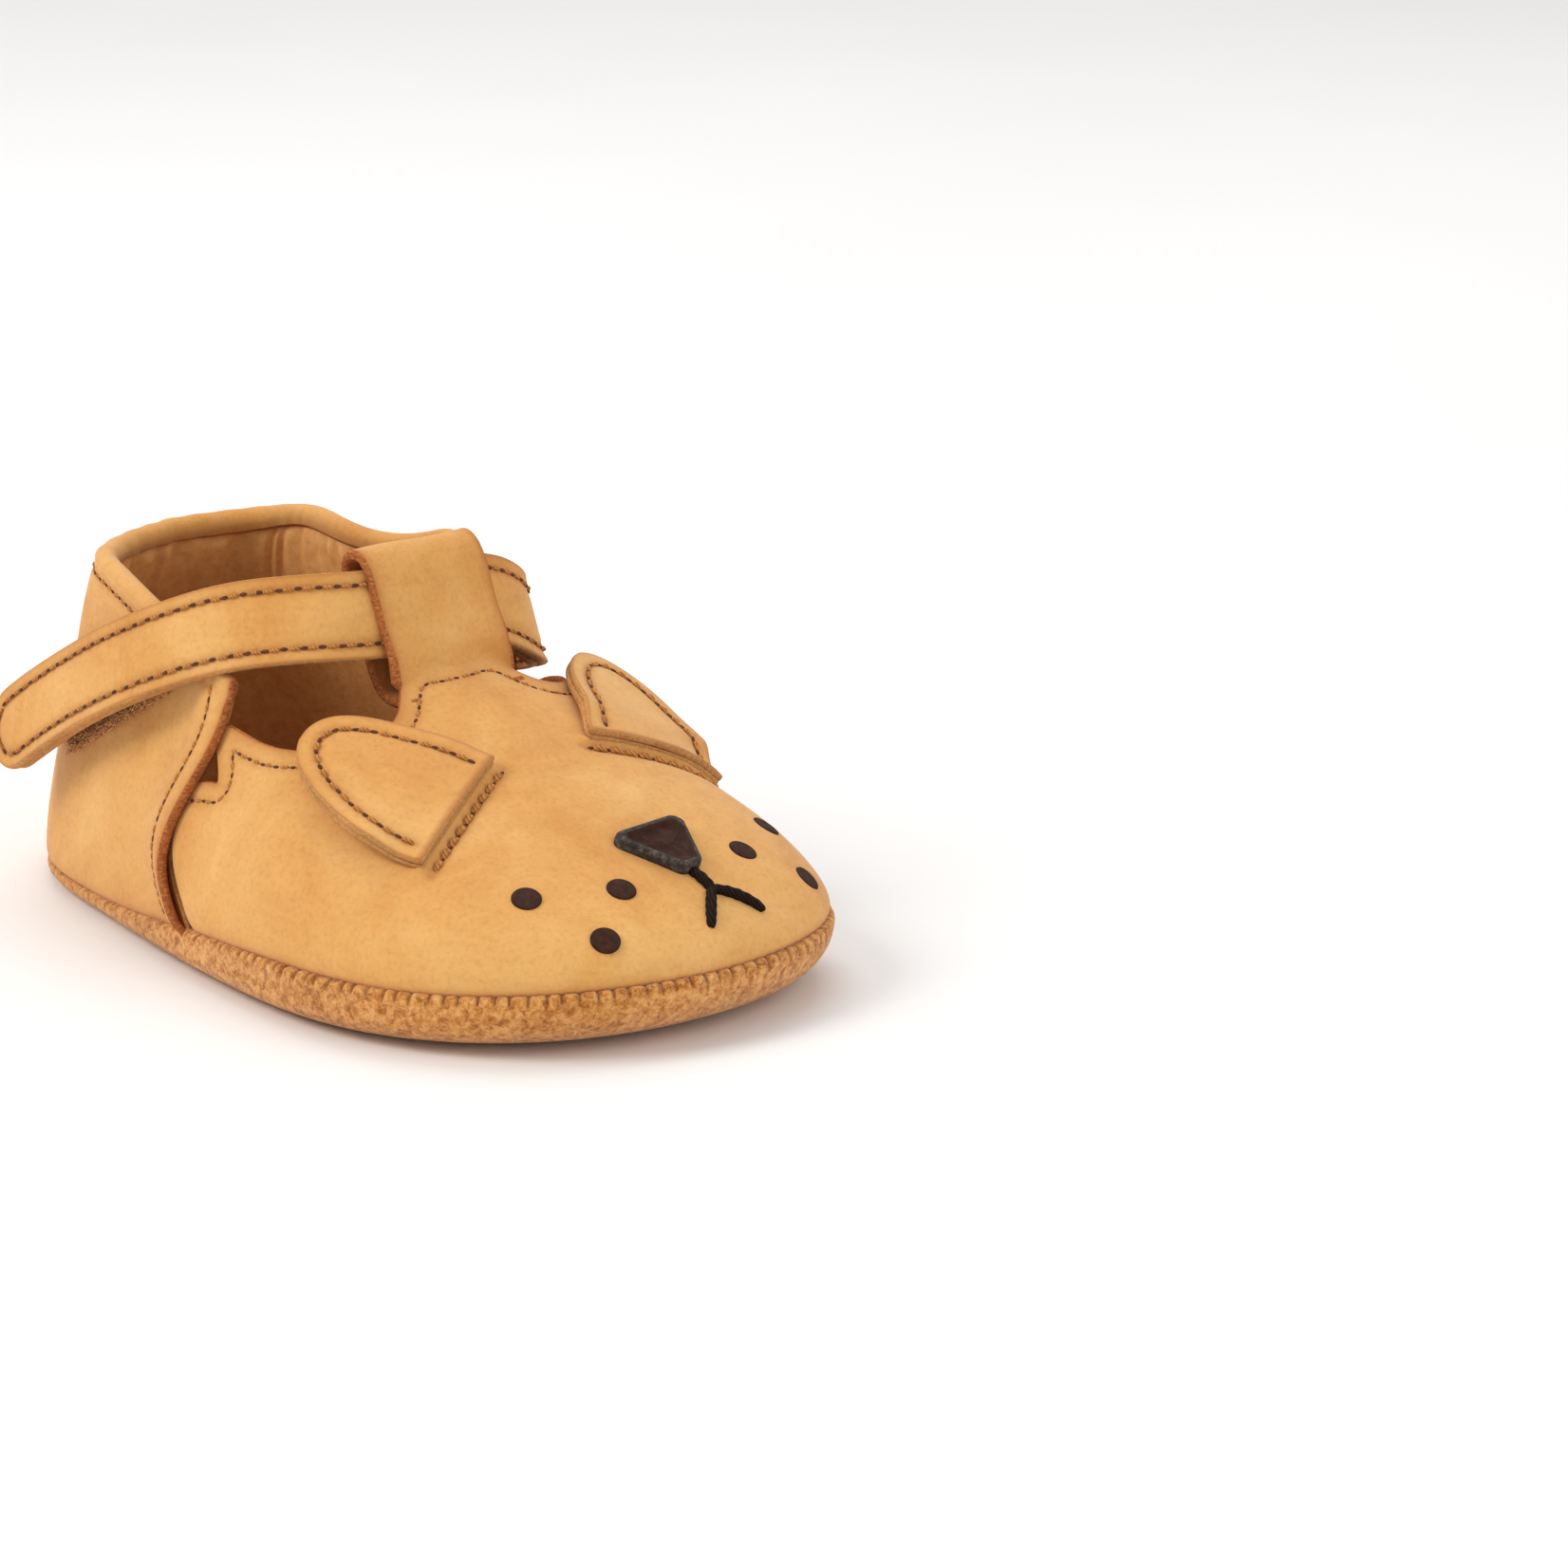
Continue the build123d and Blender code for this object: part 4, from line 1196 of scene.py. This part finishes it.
def make_strap():
    """Both layers of the strap, and its stitches. Gives back the strap's middle line."""
    outer = Ribbon(LOOP_STATIONS + MAIN_STATIONS)
    after_loop = outer.line.knots[len(LOOP_STATIONS)]
    seam, seam_out = strap_seam(outer, after_loop + 1.5, STRAP_LEATHER + 0.05)
    nodes = ["strap_ring_loop", "strap_band", "strap_end"]
    make_strap_layer("strap_outer_leather", outer, 0.0, 1, nodes, seam)
    back_seam, _ = strap_seam(outer, after_loop + 3.2, -(STRAP_LEATHER + 0.05))
    lining_nodes = ["strap_band_lining", "strap_end_lining"]
    make_strap_layer("strap_lining_leather", outer, after_loop + 2.6, -1, lining_nodes, back_seam)
    thread = stitches(Mesh(), seam, seam_out, pitch=STITCH_PITCH, radius=0.24)
    picked = np.linspace(0, len(seam_out) - 1, len(back_seam)).astype(int)
    stitches(thread, back_seam, -seam_out[picked], pitch=STITCH_PITCH, radius=0.24)
    piece = thread.make("strap_stitches", STITCH_LOOKS)
    blend_strap(piece)
    return outer


def hook_point(root, lean, out, angle):
    """A point of a hook that rises below the strap and turns over."""
    over = math.sin(angle) if angle > math.pi / 2 else 0
    rise = math.sin(min(angle, math.pi / 2))
    return root + lean * 0.22 * (1 - math.cos(angle)) - out * 0.34 * rise - out * 0.1 * over


def make_hook_tape(ribbon):
    """The tape under the strap's end, with its hooks."""
    knots = ribbon.line.knots[len(LOOP_STATIONS):]
    start, end = (np.interp(k, np.arange(len(knots)), knots) for k in (HOOK_FROM, HOOK_TO))
    t, w = np.meshgrid(np.linspace(start, end, 60), np.linspace(-1, 1, 24) * HOOK_HALF_WIDTH, indexing="ij")
    level = -(STRAP_LEATHER + 0.12)
    near, _ = ribbon.at(t, w, np.full(t.shape, level))
    far, _ = ribbon.at(t, w, np.full(t.shape, level - HOOK_TAPE))
    mesh = thick_sheet(Mesh(), far, near, edge_wear=0)
    arch = np.linspace(0, math.pi * 1.35, 8)
    for i, place in enumerate(np.arange(start + 0.8, end - 0.6, HOOK_GAP)):
        for across in np.arange(-3.9, 4.0, HOOK_GAP) + (0.3 if i % 2 else 0):
            centre, along, out, side = ribbon.frame(np.array(place))
            lean = along * (1 if i % 2 else -1)
            root = centre + side * across + out * (level - HOOK_TAPE)
            line = [hook_point(root, lean, out, a) for a in arch]
            tube(mesh, np.array(line), 0.075, 4, side)
    piece = mesh.make("hook_tape", [HOOK_LOOK, HOOK_LOOK, HOOK_LOOK])
    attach(piece, "strap_free_end")
    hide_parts("hook_patch")


def tube(mesh, line, radius, sides, up, twist=0.0, ply=0.0):
    """A tube along a line, with plies turned round it where twist is given in turns per mm."""
    along = unit(np.gradient(line, axis=0))
    side = unit(np.cross(along, np.broadcast_to(up, line.shape)))
    out = np.cross(side, along)
    angle = angles_round(sides)
    phase = lengths(line)[:, None] * twist * 2 * math.pi
    radius = np.broadcast_to(radius, len(line))[:, None] * (1 + ply * np.cos(2 * (angle[None] - phase)))
    ring = line[:, None] + radius[..., None] * (
        side[:, None] * np.cos(angle)[None, :, None] + out[:, None] * np.sin(angle)[None, :, None])
    return mesh.add_closed(ring)


LOOP_ALONG, LOOP_ACROSS = (-12, 12, 60), (-6, 3.4, 32)     # ends and count of the tape's grid lines
FIBRES = 5200


def nearest_index(values, ends):
    """Numbers of the nearest of evenly spaced grid lines."""
    first, last, count = ends
    return np.clip(((values - first) / (last - first) * (count - 1)).round().astype(int), 0, count - 1)


def make_loop_patch():
    """Fuzzy loop tape: a woven base with bent fibres standing on it."""
    along, out = unit(np.array([-0.87, 0.07, -0.488])), unit(np.array([-0.21, -0.95, 0.238]))
    along = unit(along - out * along.dot(out))
    side = np.cross(out, along)
    origin = np.array([-27, -20.25, 27.5])
    p, q = np.meshgrid(np.linspace(*LOOP_ALONG), np.linspace(*LOOP_ACROSS), indexing="ij")
    flat = origin + p[..., None] * along + q[..., None] * side
    settle = np.array([np.dot(nearest(f)[0] - f, out) for f in flat.reshape(-1, 3)]).reshape(p.shape)
    base = flat + out * (settle + 0.1)[..., None]
    mesh = thick_sheet(Mesh(), base + out * 0.5, base, edge_wear=0)
    places = RNG.uniform([-12.2, -6.1], [12.2, 3.7], (FIBRES, 2))
    rows, cols = nearest_index(places[:, 0], LOOP_ALONG), nearest_index(places[:, 1], LOOP_ACROSS)
    roots = origin + places[:, :1] * along + places[:, 1:] * side + out * (settle[rows, cols] + 0.45)[:, None]
    bend = RNG.normal(0, 0.5, (FIBRES, 2))
    height = RNG.uniform(0.55, 1.25, FIBRES)
    t = np.linspace(0, 1, 5)
    for root, (b1, b2), h in zip(roots, bend, height):
        line = root + out * (h * np.sin(t * 1.9))[:, None] + (along * b1 + side * b2) * (t**1.6)[:, None]
        tube(mesh, line, 0.05, 3, along * 0.3 + side * 0.9 + out * 0.1)
    piece = mesh.make("loop_tape_pile", [PILE_LOOK, PILE_LOOK, PILE_LOOK])
    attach(piece, "shoe")
    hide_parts("loop_patch")


# ---- ring tab ------------------------------------------------------------------------------------------
TAB_TURN = 1.85            # middle radius of the tab round the ring's wire
TAB_HALF_WIDTH = 5.2


def make_ring_tab():
    """The tab from the wall, round the ring's rear bar and back, with a box of stitches."""
    angles = np.radians([115, 75, 35, 0, -35, -75, -115])
    wire = [(-RING_HALF + TAB_TURN * math.cos(a), RING_HEIGHT + TAB_TURN * math.sin(a)) for a in angles]
    path = [(-19.6, 3.0), (-14, 3.05), (-9, 3.4), (-6.2, 4.5), *wire, (-7.0, 1.55), (-12, 1.5), (-18.8, 1.5)]
    line = Curve([on_wall(*p) for p in path])
    t = np.linspace(0, line.end, 130)
    centre = line(t)
    along = unit(line(t + 0.05) - line(t - 0.05))
    out = unit(np.cross(along, WALL_DOWN))
    if np.dot(out[3], WALL_OUT) < 0:
        out = -out
    w = np.linspace(-1, 1, 31)
    half = TAB_HALF_WIDTH - 0.4 * ease((5.0 - t) / 5.0)
    width = half[:, None] * w
    grid = centre[:, None] + WALL_DOWN * width[..., None]
    outs = np.broadcast_to(out[:, None], grid.shape)
    outer = grid + outs * 0.55
    start, end, reach = 2.2, 10.6, 3.5
    seam_t = evenly([(end, -reach), (start, -reach), (start, reach), (end, reach), (end, -reach)], 160)
    seam_out = out[np.clip(seam_t[:, 0] / line.end * 129, 0, 129).astype(int)]
    seam = line(seam_t[:, 0]) + WALL_DOWN * seam_t[:, 1:] + seam_out * 0.55
    outer, pull = press(outer, outs, [seam], 0.22, 0.65)
    outer = outer + outs * ripple(outer, 0.08, 4.0)[..., None]
    mesh = thick_sheet(Mesh(), outer, grid - outs * 0.5, wear_and_shade=0.35 * pull, edge_wear=0.7)
    piece = mesh.make("ring_tab_leather", [NUBUCK_LOOK, NUBUCK_INSIDE, PALE_EDGE_LOOK])
    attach(piece, "shoe")
    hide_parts("ring_tab")
    thread = stitches(Mesh(), seam, seam_out, pitch=STITCH_PITCH, radius=0.23)
    piece = thread.make("ring_tab_stitches", STITCH_LOOKS)
    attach(piece, "shoe")


# ---- ears ----------------------------------------------------------------------------------------------
def ear_outline(side, count=400):
    """The ear's edge, flat: down the base line and to the tip."""
    curve = Curve([(x + EAR_LEAN[side] * y, y) for x, y in EAR_SHAPE])
    return curve(np.linspace(0, curve.end, count))


def make_ear(side):
    """Both layers of an ear, its edge stitches and its base seam."""
    plane = EARS[side]
    outline = ear_outline(side)
    apex = int(np.argmax(outline[:, 1]))
    left, right = outline[: apex + 1], outline[apex:][::-1]
    highest = outline[apex, 1]
    q = np.concatenate([[-1.0], (highest - 0.04) * (1 - (1 - np.linspace(0, 1, 56)) ** 1.8)])
    start, end = np.interp(q, left[:, 1], left[:, 0]), np.interp(q, right[:, 1], right[:, 0])
    w = np.linspace(0, 1, 44)
    p = start[:, None] + (end - start)[:, None] * w
    qq = np.broadcast_to(q[:, None], p.shape)
    curl = np.broadcast_to(EAR_CURL * ease((q - 9) / 13)[:, None], p.shape)
    tangent = unit(np.gradient(outline, axis=0))
    inward = np.stack([tangent[:, 1], -tangent[:, 0]], 1)
    seam_flat = outline + inward * 2.3
    keep = (seam_flat[:, 1] > 0.7) & (distance_to(
        np.c_[seam_flat, np.zeros(len(seam_flat))], np.c_[outline, np.zeros(len(outline))]) > 2.2)
    seam_flat = evenly(seam_flat[keep], 240)
    base_middle = plane.flat(10.0, 0, 0)

    def surface(level):
        points = [plane.sewn(a, b, level + c) for a, b, c in zip(p.ravel(), qq.ravel(), curl.ravel())]
        return np.array(points).reshape(p.shape + (3,))

    seam_level = EAR_STAND_OFF + 2 * EAR_LEATHER
    seam = np.array([plane.sewn(a, b, seam_level + EAR_CURL * ease((b - 9) / 13)) for a, b in seam_flat])
    outs = np.broadcast_to(plane.out, p.shape + (3,))
    layers = (
        ("back", 0.0, [NUBUCK_INSIDE, NUBUCK_LOOK, PALE_EDGE_LOOK]),
        ("front", EAR_LEATHER + 0.03, [NUBUCK_LOOK, NUBUCK_INSIDE, PALE_EDGE_LOOK]),
    )
    for name, level, looks in layers:
        low, high = surface(EAR_STAND_OFF + level), surface(EAR_STAND_OFF + level + EAR_LEATHER)
        wear_and_shade = None
        if name == "front":
            pillow = 0.2 * np.sin(np.pi * w)[None] * np.sin(np.pi * np.clip(q / highest, 0, 1))[:, None]
            high = high + outs * pillow[..., None]
            high, pull = press(high, outs, [seam], 0.3, 0.75)
            wear_and_shade = 0.4 * pull
        high = high + outs * ripple(high, 0.1, 5.0)[..., None]
        mesh = thick_sheet(Mesh(), high, low, wear_and_shade=wear_and_shade, edge_wear=0.25, bulge=0.16)
        piece = mesh.make(f"ear_{side}_{name}_leather", looks)
        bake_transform(piece)
        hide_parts(f"ear_{side}_{name}")
    thread = stitches(Mesh(), seam, np.broadcast_to(plane.out, seam.shape), pitch=2.45, radius=0.3)
    piece = thread.make(f"ear_{side}_stitches", STITCH_LOOKS)
    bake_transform(piece)
    line, normals = plane.line(EAR_SEAM_AHEAD, -0.2, 19.8, 120)
    base = stitches(
        Mesh(), line - normals * 0.2, normals, pitch=2.2, share=0.9, radius=0.42, rise=0.3, lean=0.12)
    piece = base.make(f"ear_{side}_base_stitches", STITCH_LOOKS)
    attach(piece, "shoe")


# ---- face ----------------------------------------------------------------------------------------------
def rounded(corners, radius, count=9):
    """A polygon with rounded corners, as points."""
    corners = np.array(corners, float)
    made = []
    for i, corner in enumerate(corners):
        before, after = unit(corners[i - 1] - corner), unit(corners[(i + 1) % len(corners)] - corner)
        half = math.acos(np.clip(before.dot(after), -1, 1)) / 2
        middle = corner + unit(before + after) * radius / math.sin(half)
        reach = radius / math.tan(half)
        a, b = corner + before * reach - middle, corner + after * reach - middle
        for t in np.linspace(0, 1, count):
            made.append(middle + unit(a * (1 - t) + b * t) * radius)
    return np.array(made)


def conforming_plug(mesh, outline, place, rings, looks, uneven=0.0):
    """A flat plug on the vamp: rings of (share of the outline, height above the leather)."""
    origin, normal = drop(*face_point(*place))
    forward = np.array([math.cos(FACE_TURN), math.sin(FACE_TURN), 0])
    forward = unit(forward - normal * forward.dot(normal))
    left = np.cross(normal, forward)
    centre = outline.mean(0)
    rows = []
    for share, height in rings:
        ring = []
        for k, (f, l) in enumerate(centre + (outline - centre) * share):
            point, n = nearest(origin + forward * f + left * l)
            wobble = uneven * math.sin(k * 1.7) * math.sin(k * 0.37 + 1)
            aside = (forward * math.cos(k) + left * math.sin(k)) * uneven * 0.3
            ring.append(point + n * (height + wobble) + aside)
        rows.append(ring)
    rows = np.array(rows)
    count = len(outline)
    for r in range(len(rings) - 1):
        mesh.add(rows[r: r + 2], quads(2, count, wrap=True), looks[r])
    mesh.faces.append([mesh.count - count + i for i in range(count)])
    mesh.slots.append(looks[-1])
    first = mesh.count - (len(rings) - 1) * 2 * count
    mesh.faces.append([first + i for i in range(count - 1, -1, -1)])
    mesh.slots.append(looks[0])
    return mesh


SPOT_RADIUS = 1.78
SPOT_PLACES = [(32.2, 20.5), (37.6, 10.4), (41.6, 17.3)]
MOUTH_LINES = (
    [(38.6, 0), (40.6, 0.05), (42.5, 0)],
    [(42.0, 0.1), (43.7, -1.9), (46.0, -4.3)],
    [(42.0, -0.1), (43.6, 2.2), (46.0, 4.5)],
)


def make_face():
    """Nose, cheek spots and mouth."""
    shape = rounded([(-3.9, -6.2), (-3.9, 6.2), (4.8, 1.5), (4.8, -1.5)], 1.25, 14)
    rings = [
        (1.0, -0.3), (1.01, 0.5), (1.0, 1.0), (0.97, 1.3), (0.91, 1.45), (0.82, 1.42), (0.75, 1.2),
        (0.71, 0.95), (0.67, 0.85), (0.45, 0.86), (0.2, 0.88), (0.04, 0.88),
    ]
    looks = [1, 1, 1, 1, 1, 0, 0, 0, 0, 0, 0]
    piece = conforming_plug(Mesh(), shape, (34.6, 0), rings, looks, 0.02).make(
        "nose_leather", [DARK_LOOK, DARK_EDGE_LOOK], weld=True)
    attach(piece, "shoe")
    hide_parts("nose")

    angle = angles_round(40)
    disc = np.stack([np.cos(angle), np.sin(angle)], 1) * SPOT_RADIUS
    rings = [(1.0, -0.25), (1.0, 0.12), (0.95, 0.24), (0.86, 0.27), (0.5, 0.25), (0.1, 0.25)]
    mesh = Mesh()
    for along, side in SPOT_PLACES:
        for sign in (-1, 1):
            conforming_plug(mesh, disc, (along, sign * side), rings, [0] * 5)
    piece = mesh.make("cheek_spots", [DARK_LOOK], weld=True)
    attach(piece, "shoe")
    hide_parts("spots")

    mesh = Mesh()
    for path in MOUTH_LINES:
        curve = Curve(path)
        stops = np.linspace(0, curve.end, 36)
        found = [drop(*face_point(*p)) for p in curve(stops)]
        points, normals = (np.array([f[k] for f in found]) for k in (0, 1))
        rise = 0.42 * np.sin(np.pi * np.clip(stops / curve.end, 0, 1)) ** 0.3 - 0.12
        radius = 0.66 * (0.75 + 0.25 * np.sin(np.pi * stops / curve.end) ** 0.5)
        tube(mesh, points + normals * rise[:, None], radius, 14, normals, twist=0.4, ply=0.06)
    piece = mesh.make("mouth_thread", [DARK_THREAD_LOOK])
    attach(piece, "shoe")
    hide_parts("mouth_embroidery")


def make_upper_stitches():
    """The stitches of the topline, the collar and the quarter's front edges."""
    mesh = Mesh()
    for name, (line, normals) in SEAM_LINES.items():
        radius = 0.26 if name == "collar" else 0.22
        stitches(mesh, line - normals * 0.2, normals, pitch=STITCH_PITCH, radius=radius, rise=0.1)
    piece = mesh.make("upper_stitches", STITCH_LOOKS)
    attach(piece, "shoe")


make_vamp()
make_vamp_lining()
make_quarter()
make_quarter_lining()
make_outsole()
make_insole()
strap_ribbon = make_strap()
make_hook_tape(strap_ribbon)
make_loop_patch()
make_ring_tab()
for side in EARS:
    make_ear(side)
make_face()
make_upper_stitches()

for node, look, slot in (("ring", METAL_LOOK, "ring_metal"), ("midsole_foam", FOAM_LOOK, "foam")):
    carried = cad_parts[node]
    carried.data.materials.clear()
    carried.data.materials.append(look)

# ---- floor, light and camera ---------------------------------------------------------------------------
FLOOR_SIZE, FLOOR_GAP = 6, 0.00005
bpy.ops.mesh.primitive_plane_add(size=FLOOR_SIZE, location=(0, 0, -FLOOR_GAP))
floor = bpy.context.object
floor.name = "floor"
floor.data.materials.append(floor_look())

world = bpy.data.worlds.new("studio")
bpy.context.scene.world = world
world.use_nodes = True
background = world.node_tree.nodes["Background"]
background.inputs["Color"].default_value = (1, 1, 1, 1)
background.inputs["Strength"].default_value = 0.6

# The photo's camera: BACK points from the shoe to it, RIGHT and UP lie in its picture.
AZIMUTH, ELEVATION = math.radians(52), math.radians(17)
BACK = Vector((
    math.sin(AZIMUTH) * math.cos(ELEVATION), -math.cos(AZIMUTH) * math.cos(ELEVATION), math.sin(ELEVATION)))
RIGHT = Vector((math.cos(AZIMUTH), math.sin(AZIMUTH), 0))
UP = BACK.cross(RIGHT)


def area_light(name, right, up, back, size, power, tint=(1, 1, 1)):
    """A soft light placed from the camera's point of view, aimed at the shoe."""
    light = bpy.data.lights.new(name, "AREA")
    light.energy, light.size, light.color = power, size, tint
    lamp = bpy.data.objects.new(name, light)
    bpy.context.scene.collection.objects.link(lamp)
    lamp.location = RIGHT * right + UP * up + BACK * back
    lamp.rotation_euler = (Vector((0, 0, 0.02)) - lamp.location).to_track_quat("-Z", "Y").to_euler()


area_light("key", -0.8, 0.65, 0.4, 0.5, 5.6, (1, 0.98, 0.95))
area_light("top", 0.0, 0.95, -0.2, 0.8, 3.2)
area_light("fill", 0.8, 0.35, 0.7, 0.9, 3.0)

CAMERA_DISTANCE = 0.700
LENS, SENSOR = 130.4, 36.0
TARGET = RIGHT * 0.0495 + UP * 0.0165
camera_data = bpy.data.cameras.new("camera")
camera_data.lens, camera_data.sensor_width = LENS, SENSOR
camera_data.clip_start, camera_data.clip_end = 0.01, 50
camera = bpy.data.objects.new("camera", camera_data)
bpy.context.scene.collection.objects.link(camera)
camera.location = BACK * CAMERA_DISTANCE
camera.rotation_euler = (camera.location - TARGET).to_track_quat("Z", "Y").to_euler()
bpy.context.scene.camera = camera
bpy.context.scene.view_settings.view_transform = "Standard"
